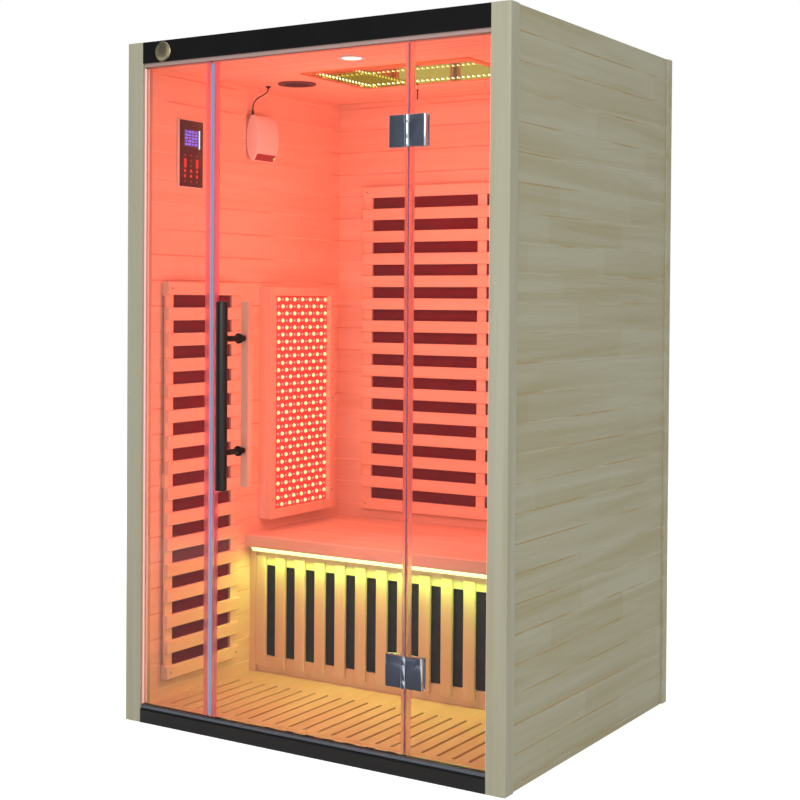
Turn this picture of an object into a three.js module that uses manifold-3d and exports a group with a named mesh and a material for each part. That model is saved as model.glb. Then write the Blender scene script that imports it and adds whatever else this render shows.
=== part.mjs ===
// A two-person infrared sauna cabin: boarded timber walls, a glass front with a hinged door,
// a bench, slatted heater guards and the fittings on its walls and ceiling.
// Millimetres, +Z up, +X to the right as seen from the door, the door on the -Y side.
// The origin is the middle of the underside of the floor.

import * as THREE from 'three';
import { mergeVertices } from 'three/addons/utils/BufferGeometryUtils.js';
import Module from 'manifold-3d';

// Driving dimensions: the shell

const cabinWidth = 1200;
const cabinDepth = 1050;
const cabinHeight = 1900;
const clearance = 0.3; // left between pieces that touch
const letIn = 1; // parts of one glued piece are let into each other by this much

const wallReveal = 5; // the boards lie this far behind the faces of the posts
const wallCore = 35; // insulated core with its outer boards
const liningThickness = 10;
const boardPitch = 72.9;
const boardGrooveDepth = 1.5;
const boardGrooveWidth = 4;
const topBoardHeight = 62;

const postWidth = 54;
const postDepth = 44;
const postEdgeRadius = 4;
const stileWidth = 45;
const stileDepth = 41;
const stileEdgeRadius = 14;

const floorBaseThickness = 22;
const floorGrilleThickness = 18;
const floorSlotWidth = 9;
const floorSlotPitch = 45.7;
const floorSlotLength = 322;
const floorSlotFront = 41; // from the front edge of the grille
const floorBorder = 26; // from the front edge of the grille to its border seam

const roofDrop = 6; // the roof lies this far below the tops of the walls
const roofCore = 44;
const ceilingThickness = 10;

const sillHeight = 38;
const fasciaHeight = 59;
const fasciaThickness = 6;
const headerLip = 10; // the beam shows this much below its fascia
const fasciaEdgeRadius = 1;
const beamEdgeRadius = 2;
const sillEdgeRadius = 3;

// Driving dimensions: the glass front

const glassThickness = 8;
const glassSetback = 14; // from the faces of the posts to the glass
const glassBite = 8; // how far a fixed pane sits in its grooves
const channelWidth = 24;
const channelHeight = 10;
const channelEdgeRadius = 2;

const doorWidth = 610;
const doorGap = 3; // above and below the door
const hingeAxisX = 311;
const hingeGlassGap = 5; // between the door and the right pane
const strikeGap = 16; // between the door and the left pane, filled by two seals
const sealWall = 1.6;
const sealReach = 12; // how far a seal grips its glass
const sealParting = 1; // between the two seals
const sealEdgeRadius = 1;

const hingeLeafReach = 55;
const hingeHeight = 80;
const hingePlateThickness = 10;
const hingeAxisOffset = 8; // from the pin to the face of the glass
const hingeKnuckleRadius = 7;
const hingeKnuckleGap = 1; // between a knuckle and the other leaf's plate
const hingeMiddleKnuckle = 39;
const hingeNeckBack = 6; // from the pin to the back of a knuckle's neck
const hingePinRadius = 4;
const pinSides = 16;
const hingeClampThickness = 8;
const hingeEndRadius = 7;
const hingeBossRadius = 6.5;
const hingeBossInset = 24; // from the outer end of the leaf
const hingeBossSpacing = 44;
const upperHingeDrop = 220; // from the top of the door glass
const lowerHingeRise = 209; // from the bottom of the door glass

const handleInset = 87.5; // from the free edge of the door glass
const handleLength = 500;
const handleRadius = 16;
const handleSides = 24;
const handleEdge = 2;
const handleReach = 76; // from the glass to the middle of the bar
const handleMiddle = 931; // height of the middle of both bars
const standoffSpacing = 302;
const standoffRadius = 8;
const collarRadius = 14;
const collarThickness = 5;
const boltRadius = 5;
const boltHolePlay = 2;
const spacerRadius = 10;
const standoffSides = 16;
const innerBarWidth = 25;
const innerBarDepth = 22;
const innerBarEdgeRadius = 6;
const innerBarGap = 15; // between the glass and the wooden bar

// Driving dimensions: the bench

const benchHeight = 466;
const benchDepth = 512;
const benchTopThickness = 20;
const noseHeight = 38;
const noseThickness = 24;
const noseEdgeRadius = 6;
const noseLowerRadius = 2;
const supportWidth = 22;
const supportLegDepth = 40;
const supportCleatHeight = 40;
const calfSetback = 27; // from the bench nose to the slats
const calfSlatWidth = 36;
const calfOpenings = 14;
const calfSlatRise = 22; // of the slats above the floor
const calfSlatHeight = 338;
const calfBottomRail = 50;
const calfTopRail = 75;
const lightStripHeight = 9;
const lightStripDepth = 14;
const lightStripInset = 3; // from the back of the nose
const lightStripRadius = 1;

// Driving dimensions: heaters and their guards

const heaterThickness = 5;
const slatHeight = 37;
const slatPitch = 73.2;
const slatThickness = 10;
const slatEdge = 2;
const railWidth = 32;
const railDepth = 14;
const railRelief = 6; // depth of the two long reliefs behind a rail
const railFoot = 40; // length of a rail that touches the wall
const sideGuardSlats = 16;
const sideGuardWidth = 335;
const sideGuardFromFront = 51.5; // from the back of the front post
const sideGuardRise = 60; // above the floor
const backGuardSlats = 15;
const backGuardWidth = 882;
const backGuardRise = 32; // above the bench

// Driving dimensions: fittings on the left wall

const therapyWidth = 354;
const therapyHeight = 721;
const therapyDepth = 45;
const therapyBorder = 27;
const therapyRecess = 15;
const therapyFromBack = 89; // from the back lining to the frame
const therapyRise = 39; // above the bench
const therapyCornerRadius = 4;

const controlWidth = 110;
const controlHeight = 196;
const controlThickness = 6;
const controlCornerRadius = 8;
const controlFromFront = 112; // from the back of the front post
const controlDrop = 133.7; // below the ceiling

const ionizerLength = 108;
const ionizerHeight = 146;
const ionizerDepth = 46;
const ionizerEdge = 3;
const ionizerFromBack = 409; // from the back lining
const ionizerDrop = 82.7; // below the ceiling
const ionizerBevelSteps = 2;
const ionizerArcSteps = 10;
const outletSlots = 8;
const outletSlotPitch = 11;
const outletSlotWidth = 6;
const outletSlotHeight = 18;
const outletSlotDepth = 7;
const outletAngle = -40; // degrees from level, on the curved face
const bootInset = 17; // from the front end of the ionizer
const bootOffset = 12; // from the wall
const bootHeight = 18;
const bootBottomRadius = 5;
const bootTopRadius = 3;

const smallSides = 16; // of the boot, the gland and the hinge bosses

const leadRadius = 2;
const leadSides = 8;
const leadSteps = 14;

// Driving dimensions: fittings in the ceiling

const lampX = 20;
const lampY = -325;
const lampBezelRadius = 39;
const lampCanRadius = 30;
const lampLensRadius = 27;
const lampCanHeight = 30;
const bezelThickness = 3.5; // of the ceiling fittings, below the boards
const bezelEdge = 2;

const mirrorLightX = 16;
const mirrorLightY = 8;
const mirrorLightWidth = 556;
const mirrorLightDepth = 356;
const mirrorLightBezel = 13;
const mirrorLightCornerRadius = 6;
const mirrorLightHousing = 38;
const mirrorLightRecess = 26;
const mirrorLightWall = 10;

const ventFromLeft = 160; // from the left lining to the middle
const ventY = 0;
const ventRadius = 59;
const ventNeckRadius = 46;
const ventRingWall = 5;
const ventNeckHeight = 16;
const ventBlades = 6;
const ventBladeTilt = 35; // degrees
const ventBladeThickness = 2;
const ventBladeHeight = 12;
const ventLipEdge = 1;
const ventSides = 24;

const airSlotCount = 5;
const airSlotPitch = 35;
const airSlotLength = 34;
const airSlotWidth = 6;
const airSlotX = 24;
const airSlotY = 288;

const probeX = -140;
const probeFromBack = 183; // from the back lining
const probeLength = 30;
const probeRadius = 2;
const probeFlangeRadius = 4.5;
const probeFlangeThickness = 2;
const probeTipHeight = 1.5;
const probeTipRadius = 1;

const glandFromLeft = 52; // from the left lining to the middle
const glandY = 0;
const glandRadius = 8;
const glandHeight = 6;
const glandTipRadius = 4;
const glandFlangeHeight = 2;

const powerUnitFromRight = 110; // from the right wall panel
const powerUnitFromBack = 70; // from the back wall panel
const powerUnitWidth = 240;
const powerUnitDepth = 170;
const powerUnitHeight = 32;
const powerLidRim = 9;
const powerLidThickness = 3;
const inletWidth = 28;
const inletDepth = 21;
const inletFromMiddle = 42.5; // towards the back of the power unit
const inletSink = 14;

// Planes and edges that the driving dimensions fix

const frontFace = -cabinDepth / 2;
const backFace = cabinDepth / 2;
const postInnerX = cabinWidth / 2 - postWidth;
const postBackY = frontFace + postDepth;
const panelOuterX = cabinWidth / 2 - wallReveal;
const panelInnerX = panelOuterX - wallCore;
const liningX = panelInnerX - liningThickness;
const panelOuterY = backFace - wallReveal;
const panelInnerY = panelOuterY - wallCore;
const liningY = panelInnerY - liningThickness;
const floorTop = floorBaseThickness + clearance + floorGrilleThickness;
const roofTop = cabinHeight - roofDrop;
const roofBottom = roofTop - roofCore;
const ceilingTop = roofBottom - clearance;
const ceilingBottom = ceilingTop - ceilingThickness;
const fasciaBottom = cabinHeight - fasciaHeight;
const lipBottom = fasciaBottom - headerLip;

const glassFront = frontFace + glassSetback;
const glassBack = glassFront + glassThickness;
const glassMiddle = (glassFront + glassBack) / 2;
const grooveFront = glassFront - clearance;
const grooveBack = glassBack + clearance;
const channelBottom = sillHeight + clearance;
const channelTop = channelBottom + channelHeight;
const doorBottom = channelTop + doorGap;
const doorTop = lipBottom - doorGap;
const doorRight = hingeAxisX - hingeGlassGap / 2;
const doorLeft = doorRight - doorWidth;
const rightPaneEdge = hingeAxisX + hingeGlassGap / 2;
const leftPaneEdge = doorLeft - strikeGap;
const hingeAxisY = glassFront - hingeAxisOffset;
const upperHingeZ = doorTop - upperHingeDrop;
const lowerHingeZ = doorBottom + lowerHingeRise;
const handleX = doorLeft + handleInset;
const handleY = glassFront - handleReach;
const standoffHeights = [handleMiddle + standoffSpacing / 2, handleMiddle - standoffSpacing / 2];

const noseFront = liningY - benchDepth;
const noseBack = noseFront + noseThickness;
const noseBottom = benchHeight - noseHeight;
const benchUnderside = benchHeight - benchTopThickness;
const calfFront = noseFront + calfSetback;
const calfHalfWidth = liningX - clearance - supportWidth - clearance;

const sideGuardMiddle = postBackY + sideGuardFromFront + sideGuardWidth / 2;
const therapyMiddle = liningY - therapyFromBack - therapyWidth / 2;
const therapyBase = benchHeight + therapyRise;
const controlMiddle = postBackY + controlFromFront + controlWidth / 2;
const controlBase = ceilingBottom - controlDrop - controlHeight;
const ionizerMiddle = liningY - ionizerFromBack - ionizerLength / 2;
const ionizerBase = ceilingBottom - ionizerDrop - ionizerHeight;
const ventX = -liningX + ventFromLeft;
const glandX = -liningX + glandFromLeft;
const probeY = liningY - probeFromBack;
const powerUnitX = panelInnerX - powerUnitFromRight - powerUnitWidth / 2;
const powerUnitY = panelInnerY - powerUnitFromBack - powerUnitDepth / 2;

// Materials

const finishes = {
  boards: { color: 0xd9caa3, roughness: 0.6, metalness: 0 },
  lining: { color: 0xe0b48c, roughness: 0.6, metalness: 0 },
  slats: { color: 0xe6bf98, roughness: 0.55, metalness: 0 },
  black: { color: 0x0c0a0a, roughness: 0.2, metalness: 0 },
  glass: { color: 0xdfeeea, roughness: 0.05, metalness: 0, transparent: true, opacity: 0.25 },
  seal: { color: 0xd6e2ea, roughness: 0.3, metalness: 0 },
  channel: { color: 0xa9a9a6, roughness: 0.4, metalness: 1 },
  steel: { color: 0xc6c9cc, roughness: 0.18, metalness: 1 },
  blackSteel: { color: 0x17130f, roughness: 0.45, metalness: 0.6 },
  heater: { color: 0x1c1214, roughness: 0.7, metalness: 0 },
  plastic: { color: 0xf1e9e6, roughness: 0.35, metalness: 0 },
  darkPlastic: { color: 0x231c1d, roughness: 0.3, metalness: 0 },
  ledBoard: { color: 0xb02a20, roughness: 0.4, metalness: 0 },
  rubber: { color: 0x191615, roughness: 0.8, metalness: 0 },
  mirror: { color: 0x3c4038, roughness: 0.1, metalness: 1 },
  lamp: { color: 0xfff6ea, roughness: 0.3, metalness: 0 },
  tray: { color: 0x8d9093, roughness: 0.5, metalness: 0.8 },
};

const cabin = new THREE.Group();

function addPiece(name, geometry, finish) {
  const mesh = new THREE.Mesh(geometry, new THREE.MeshStandardMaterial(finishes[finish]));
  mesh.name = name;
  cabin.add(mesh);
  return mesh;
}

// Solids: joins and cuts

const wasm = await Module();
wasm.setup();

function toSolid(geometry) {
  const bare = geometry.clone();
  bare.deleteAttribute('normal');
  bare.deleteAttribute('uv');
  const merged = mergeVertices(bare, 1e-4);
  const corners = merged.index.array;
  const triangles = [];
  for (let i = 0; i < corners.length; i += 3) {
    const [a, b, c] = corners.slice(i, i + 3);
    if (a !== b && b !== c && c !== a) {
      triangles.push(a, b, c);
    }
  }
  const mesh = new wasm.Mesh({
    numProp: 3,
    vertProperties: Float32Array.from(merged.attributes.position.array),
    triVerts: Uint32Array.from(triangles),
  });
  return new wasm.Manifold(mesh);
}

function toGeometry(solid) {
  const mesh = solid.getMesh();
  const indexed = new THREE.BufferGeometry();
  indexed.setAttribute('position', new THREE.BufferAttribute(mesh.vertProperties, 3));
  indexed.setIndex(new THREE.BufferAttribute(mesh.triVerts, 1));
  const faceted = indexed.toNonIndexed();
  faceted.computeVertexNormals();
  return faceted;
}

function join(first, ...others) {
  return toGeometry(others.reduce((solid, other) => solid.add(toSolid(other)), toSolid(first)));
}

function cut(first, ...tools) {
  return toGeometry(tools.reduce((solid, tool) => solid.subtract(toSolid(tool)), toSolid(first)));
}

function common(first, second) {
  return toGeometry(toSolid(first).intersect(toSolid(second)));
}

// Shapes

// A closed outline of [u, v] corners; a third number rounds that corner.
function outline(corners) {
  const shape = new THREE.Shape();
  corners.forEach(([u, v, radius = 0], i) => {
    const corner = new THREE.Vector2(u, v);
    const before = corners[(i + corners.length - 1) % corners.length];
    const after = corners[(i + 1) % corners.length];
    const towards = ([x, y]) => new THREE.Vector2(x, y).sub(corner).setLength(radius).add(corner);
    const start = radius > 0 ? towards(before) : corner;
    if (i === 0) {
      shape.moveTo(start.x, start.y);
    } else {
      shape.lineTo(start.x, start.y);
    }
    if (radius > 0) {
      const end = towards(after);
      shape.quadraticCurveTo(corner.x, corner.y, end.x, end.y);
    }
  });
  shape.closePath();
  return shape;
}

function rectangle(u0, u1, v0, v1, radius = 0) {
  return outline([[u0, v0, radius], [u1, v0, radius], [u1, v1, radius], [u0, v1, radius]]);
}

function circle(u, v, radius) {
  const path = new THREE.Path();
  path.absarc(u, v, radius, 0, 2 * Math.PI);
  return path;
}

// A slot with round ends, turned by an angle about its middle.
function roundSlot(u, v, length, width, angle) {
  const along = new THREE.Vector2(Math.cos(angle), Math.sin(angle)).multiplyScalar((length - width) / 2);
  const path = new THREE.Shape();
  path.absarc(u + along.x, v + along.y, width / 2, angle - Math.PI / 2, angle + Math.PI / 2);
  path.absarc(u - along.x, v - along.y, width / 2, angle + Math.PI / 2, angle + 3 * Math.PI / 2);
  path.closePath();
  return path;
}

// Prisms: an outline in (x, y) drawn along Z, in (x, z) along Y, or in (y, z) along X.
function alongZ(shape, z0, z1, curveSegments = 4) {
  const prism = new THREE.ExtrudeGeometry(shape, { depth: z1 - z0, bevelEnabled: false, curveSegments });
  return prism.translate(0, 0, z0);
}

function alongY(shape, y0, y1, curveSegments = 4) {
  const prism = new THREE.ExtrudeGeometry(shape, { depth: y1 - y0, bevelEnabled: false, curveSegments });
  return prism.rotateX(Math.PI / 2).translate(0, y1, 0);
}

function alongX(shape, x0, x1, curveSegments = 4) {
  const prism = new THREE.ExtrudeGeometry(shape, { depth: x1 - x0, bevelEnabled: false, curveSegments });
  return prism.rotateX(Math.PI / 2).rotateZ(Math.PI / 2).translate(x0, 0, 0);
}

function box(x0, x1, y0, y1, z0, z1) {
  const block = new THREE.BoxGeometry(x1 - x0, y1 - y0, z1 - z0);
  return block.translate((x0 + x1) / 2, (y0 + y1) / 2, (z0 + z1) / 2);
}

function uprightCylinder(radius, x, y, z0, z1, sides = 24) {
  const cylinder = new THREE.CylinderGeometry(radius, radius, z1 - z0, sides);
  return cylinder.rotateX(Math.PI / 2).translate(x, y, (z0 + z1) / 2);
}

// A round hole whose flats stay clear of what it takes.
function uprightHole(radius, x, y, z0, z1, sides = 24) {
  return uprightCylinder((radius + clearance) / Math.cos(Math.PI / sides), x, y, z0, z1, sides);
}

// A turned piece: [radius, height] pairs from axis to axis, standing on Z at (x, y).
function turned(profile, x, y, sides = 24) {
  const points = profile.map(([radius, height]) => new THREE.Vector2(radius, height));
  const lathe = new THREE.LatheGeometry(points, sides).rotateX(Math.PI / 2).translate(x, y, 0);
  return toGeometry(toSolid(lathe));
}

// Boards: a sheet whose face has a V groove at each seam

function seamsBetween(start, end, first) {
  const seams = [];
  const offset = Math.ceil((start + boardGrooveWidth - first) / boardPitch);
  for (let seam = first + offset * boardPitch; seam < end - boardGrooveWidth; seam += boardPitch) {
    seams.push(seam);
  }
  return seams;
}

// Corners of a sheet's section as [depth, height], running up the boarded face.
function boardedSection(back, face, start, end, seams) {
  const grooveBottom = face + Math.sign(back - face) * boardGrooveDepth;
  const half = boardGrooveWidth / 2;
  const grooves = seams.flatMap((seam) => [[face, seam - half], [grooveBottom, seam], [face, seam + half]]);
  return [[back, start], [face, start], ...grooves, [face, end], [back, end]];
}

// Floor

function floorGrille() {
  const front = postBackY + clearance;
  const back = panelInnerY - clearance;
  const seam = front + floorBorder;
  const section = boardedSection(floorBaseThickness + clearance, floorTop, front, back, [seam]);
  const deck = alongX(
    outline(section.map(([z, y]) => [y, z])),
    -panelInnerX + clearance,
    panelInnerX - clearance,
  );
  const count = 2 * Math.floor((liningX - floorSlotPitch) / floorSlotPitch) + 1;
  const middle = front + floorSlotFront + floorSlotLength / 2;
  const slots = Array.from({ length: count }, (_, i) => {
    const x = (i - (count - 1) / 2) * floorSlotPitch;
    const slot = roundSlot(x, middle, floorSlotLength, floorSlotWidth, Math.PI / 2);
    return alongZ(slot, 0, floorTop + floorGrilleThickness, 2);
  });
  return cut(deck, ...slots);
}

function buildFloor() {
  const base = box(
    -panelInnerX + clearance,
    panelInnerX - clearance,
    postBackY + clearance,
    panelInnerY - clearance,
    0,
    floorBaseThickness,
  );
  addPiece('floor_base', base, 'boards');
  addPiece('floor_grille', floorGrille(), 'lining');
}

// Walls

function buildSideWall(side, name) {
  const outerSeams = seamsBetween(0, cabinHeight, cabinHeight - topBoardHeight);
  const core = boardedSection(side * panelInnerX, side * panelOuterX, 0, cabinHeight, outerSeams);
  const panelBack = backFace - stileDepth - clearance;
  addPiece(`${name}_wall_panel`, alongY(outline(core), postBackY + clearance, panelBack), 'boards');

  const bottom = floorTop + clearance;
  const top = ceilingBottom - clearance;
  const lining = boardedSection(
    side * (panelInnerX - clearance),
    side * liningX,
    bottom,
    top,
    seamsBetween(bottom, top, 0),
  );
  const boards = alongY(outline(lining), postBackY + clearance, liningY - clearance);
  addPiece(`${name}_wall_lining`, boards, 'lining');
}

function buildBackWall() {
  const stileInnerX = cabinWidth / 2 - stileWidth;
  const outerSeams = seamsBetween(0, cabinHeight, cabinHeight - topBoardHeight);
  const core = boardedSection(panelInnerY, panelOuterY, 0, cabinHeight, outerSeams);
  const boards = alongX(outline(core), -stileInnerX - letIn, stileInnerX + letIn);
  const stiles = [-1, 1].map((side) => alongZ(
    outline([
      [side * stileInnerX, backFace],
      [side * cabinWidth / 2, backFace, stileEdgeRadius],
      [side * cabinWidth / 2, backFace - stileDepth],
      [side * (panelInnerX + clearance), backFace - stileDepth],
      [side * (panelInnerX + clearance), panelInnerY],
      [side * stileInnerX, panelInnerY],
    ]),
    0,
    cabinHeight,
  ));
  addPiece('back_wall_panel', join(boards, ...stiles), 'boards');

  const bottom = floorTop + clearance;
  const top = ceilingBottom - clearance;
  const lining = boardedSection(panelInnerY - clearance, liningY, bottom, top, seamsBetween(bottom, top, 0));
  const halfWidth = panelInnerX - clearance;
  addPiece('back_wall_lining', alongX(outline(lining), -halfWidth, halfWidth), 'lining');
}

function buildFrontPost(side, name) {
  const groove = postInnerX + glassBite;
  const section = outline([
    [side * postInnerX, frontFace, postEdgeRadius / 2],
    [side * cabinWidth / 2, frontFace, postEdgeRadius],
    [side * cabinWidth / 2, postBackY],
    [side * postInnerX, postBackY],
    [side * postInnerX, grooveBack],
    [side * groove, grooveBack],
    [side * groove, grooveFront],
    [side * postInnerX, grooveFront],
  ]);
  addPiece(`front_${name}_post`, alongZ(section, 0, cabinHeight), 'boards');
}

// Header, sill and roof

function buildHeader() {
  const halfWidth = postInnerX - clearance;
  const fasciaBack = frontFace + fasciaThickness;
  const fascia = rectangle(frontFace, fasciaBack, fasciaBottom, cabinHeight, fasciaEdgeRadius);
  addPiece('header_fascia', alongX(fascia, -halfWidth, halfWidth, 2), 'black');

  const beamFront = fasciaBack + clearance;
  const beam = outline([
    [beamFront, lipBottom, beamEdgeRadius],
    [grooveFront, lipBottom],
    [grooveFront, lipBottom + glassBite],
    [grooveBack, lipBottom + glassBite],
    [grooveBack, lipBottom],
    [postBackY, lipBottom, beamEdgeRadius],
    [postBackY, cabinHeight],
    [beamFront, cabinHeight],
  ]);
  addPiece('header_beam', alongX(beam, -halfWidth, halfWidth, 2), 'boards');

  const sill = outline([
    [frontFace, 0],
    [postBackY, 0],
    [postBackY, sillHeight],
    [frontFace, sillHeight, sillEdgeRadius],
  ]);
  addPiece('sill', alongX(sill, -halfWidth, halfWidth), 'black');

  const channelFront = glassMiddle - channelWidth / 2;
  const channelBack = glassMiddle + channelWidth / 2;
  const grooveBottom = channelTop - glassBite;
  const channel = outline([
    [channelFront, channelBottom],
    [channelBack, channelBottom],
    [channelBack, channelTop, channelEdgeRadius],
    [grooveBack, channelTop],
    [grooveBack, grooveBottom],
    [grooveFront, grooveBottom],
    [grooveFront, channelTop],
    [channelFront, channelTop, channelEdgeRadius],
  ]);
  addPiece('glass_channel', alongX(channel, -halfWidth, halfWidth, 2), 'channel');
}

function mirrorLightBlock(grow, z0, z1) {
  const halfWidth = mirrorLightWidth / 2 - mirrorLightBezel + grow;
  const halfDepth = mirrorLightDepth / 2 - mirrorLightBezel + grow;
  return box(
    mirrorLightX - halfWidth,
    mirrorLightX + halfWidth,
    mirrorLightY - halfDepth,
    mirrorLightY + halfDepth,
    z0,
    z1,
  );
}

function powerUnitBlock(grow, z0, z1) {
  const halfWidth = powerUnitWidth / 2 + grow;
  const halfDepth = powerUnitDepth / 2 + grow;
  return box(
    powerUnitX - halfWidth,
    powerUnitX + halfWidth,
    powerUnitY - halfDepth,
    powerUnitY + halfDepth,
    z0,
    z1,
  );
}

function buildRoof() {
  const halfWidth = panelInnerX - clearance;
  const front = postBackY + clearance;
  const back = panelInnerY - clearance;
  const through = [ceilingBottom - ceilingThickness, roofTop + roofCore];

  const lampHole = uprightHole(
    lampCanRadius,
    lampX,
    lampY,
    through[0],
    ceilingBottom + lampCanHeight + clearance,
  );
  const ventHole = uprightHole(ventNeckRadius, ventX, ventY, ...through);
  const lightHole = mirrorLightBlock(clearance, through[0], ceilingBottom + mirrorLightHousing + clearance);
  const powerHole = powerUnitBlock(clearance, roofTop - powerUnitHeight - clearance, through[1]);
  const core = box(-halfWidth, halfWidth, front, back, roofBottom, roofTop);
  addPiece('roof_panel', cut(core, lampHole, ventHole, lightHole, powerHole), 'boards');

  const seams = seamsBetween(front, back, liningY - boardPitch);
  const section = boardedSection(ceilingTop, ceilingBottom, front, back, seams).map(([z, y]) => [y, z]);
  const boards = alongX(outline(section), -halfWidth, halfWidth);
  const airSlots = Array.from({ length: airSlotCount }, (_, i) => {
    const x = airSlotX + (i - (airSlotCount - 1) / 2) * airSlotPitch;
    const slot = roundSlot(x, airSlotY, airSlotLength, airSlotWidth, Math.PI / 4);
    return alongZ(slot, through[0], ceilingTop + ceilingThickness, 2);
  });
  addPiece('ceiling_boards', cut(boards, lampHole, ventHole, lightHole, ...airSlots), 'lining');
}

function buildPowerUnit() {
  const lidBottom = roofTop + clearance;
  const lidTop = lidBottom + powerLidThickness;
  const body = powerUnitBlock(0, roofTop - powerUnitHeight, lidTop);
  const lid = powerUnitBlock(powerLidRim, lidBottom, lidTop);
  const inletY = powerUnitY + inletFromMiddle;
  const inlet = box(
    powerUnitX - inletWidth / 2,
    powerUnitX + inletWidth / 2,
    inletY - inletDepth / 2,
    inletY + inletDepth / 2,
    lidTop - inletSink,
    lidTop + inletSink,
  );
  addPiece('power_unit', cut(join(body, lid), inlet), 'tray');
}

// Glass and seals

function glassPane(x0, x1, z0, z1, holes) {
  const shape = rectangle(x0, x1, z0, z1);
  holes.forEach(([x, z, radius]) => shape.holes.push(circle(x, z, radius)));
  return alongY(shape, glassFront, glassBack, 8);
}

function hingeHoles(side) {
  const x = hingeAxisX + side * (hingeLeafReach - hingeBossInset);
  const half = hingeBossSpacing / 2;
  const radius = hingeBossRadius + boltHolePlay / 2;
  return [upperHingeZ, lowerHingeZ].flatMap((z) => [[x, z - half, radius], [x, z + half, radius]]);
}

function buildGlass() {
  const paneBottom = channelTop - glassBite + clearance;
  const paneTop = lipBottom + glassBite - clearance;
  const paneOuter = postInnerX + glassBite - clearance;
  addPiece('left_pane', glassPane(-paneOuter, leftPaneEdge, paneBottom, paneTop, []), 'glass');
  const rightPane = glassPane(rightPaneEdge, paneOuter, paneBottom, paneTop, hingeHoles(1));
  addPiece('right_pane', rightPane, 'glass');

  const boltHoles = standoffHeights.map((z) => [handleX, z, boltRadius + boltHolePlay]);
  const door = glassPane(doorLeft, doorRight, doorBottom, doorTop, [...hingeHoles(-1), ...boltHoles]);
  addPiece('door_glass', door, 'glass');
}

// A seal grips the edge of its glass and reaches to the middle of the strike gap.
function buildSeal(name, glassEdge, side) {
  const parting = (leftPaneEdge + doorLeft) / 2 - side * sealParting / 2;
  const front = grooveFront - sealWall;
  const back = grooveBack + sealWall;
  const tip = glassEdge - side * sealReach;
  const web = glassEdge + side * clearance;
  const section = outline([
    [parting, front, sealEdgeRadius],
    [parting, back, sealEdgeRadius],
    [tip, back],
    [tip, grooveBack],
    [web, grooveBack],
    [web, grooveFront],
    [tip, grooveFront],
    [tip, front],
  ]);
  addPiece(name, alongZ(section, doorBottom, doorTop, 2), 'seal');
}

// Hinges: all drawn about the pin's axis, for a leaf that reaches towards +X

const plateBack = hingeAxisOffset - clearance;
const plateFront = plateBack - hingePlateThickness;
const plateInner = hingeKnuckleRadius + hingeKnuckleGap;
const bossX = hingeLeafReach - hingeBossInset;

function hingePlate(front, back) {
  const section = outline([
    [plateInner, front],
    [hingeLeafReach, front, hingeEndRadius],
    [hingeLeafReach, back],
    [plateInner, back],
  ]);
  return alongZ(section, -hingeHeight / 2, hingeHeight / 2);
}

function knuckle(z0, z1) {
  const barrel = uprightCylinder(hingeKnuckleRadius, 0, 0, z0, z1);
  const neck = box(0, plateInner + letIn, plateFront, hingeNeckBack, z0, z1);
  return join(barrel, neck);
}

function hingeLeaf(knuckles) {
  const glassRear = hingeAxisOffset + glassThickness;
  const bossLength = glassRear - plateBack + letIn;
  const bosses = [-1, 1].map((side) => {
    const boss = new THREE.CylinderGeometry(hingeBossRadius, hingeBossRadius, bossLength, smallSides);
    return boss.translate(bossX, glassRear - bossLength / 2, side * hingeBossSpacing / 2);
  });
  const bore = uprightHole(hingePinRadius, 0, 0, -hingeHeight, hingeHeight, pinSides);
  return cut(join(hingePlate(plateFront, plateBack), ...bosses, ...knuckles), bore);
}

function buildHinge(name, height) {
  const half = hingeHeight / 2;
  const split = hingeMiddleKnuckle / 2;
  const clampFront = hingeAxisOffset + glassThickness + clearance;
  const clamp = hingePlate(-clampFront - hingeClampThickness, -clampFront);
  const doorLeaf = hingeLeaf([knuckle(-split, split)]);
  const fixedLeaf = hingeLeaf([knuckle(-half, -split - clearance), knuckle(split + clearance, half)]);
  const pieces = [
    addPiece(`${name}_hinge_door_leaf`, doorLeaf.rotateY(Math.PI), 'steel'),
    addPiece(`${name}_hinge_fixed_leaf`, fixedLeaf, 'steel'),
    addPiece(`${name}_hinge_door_clamp`, clamp.clone().rotateZ(Math.PI), 'steel'),
    addPiece(`${name}_hinge_fixed_clamp`, clamp.clone().rotateX(Math.PI), 'steel'),
    addPiece(`${name}_hinge_pin`, uprightCylinder(hingePinRadius, 0, 0, -half, half, pinSides), 'steel'),
  ];
  pieces.forEach((piece) => piece.position.set(hingeAxisX, hingeAxisY, height));
}

// Door handle

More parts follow.
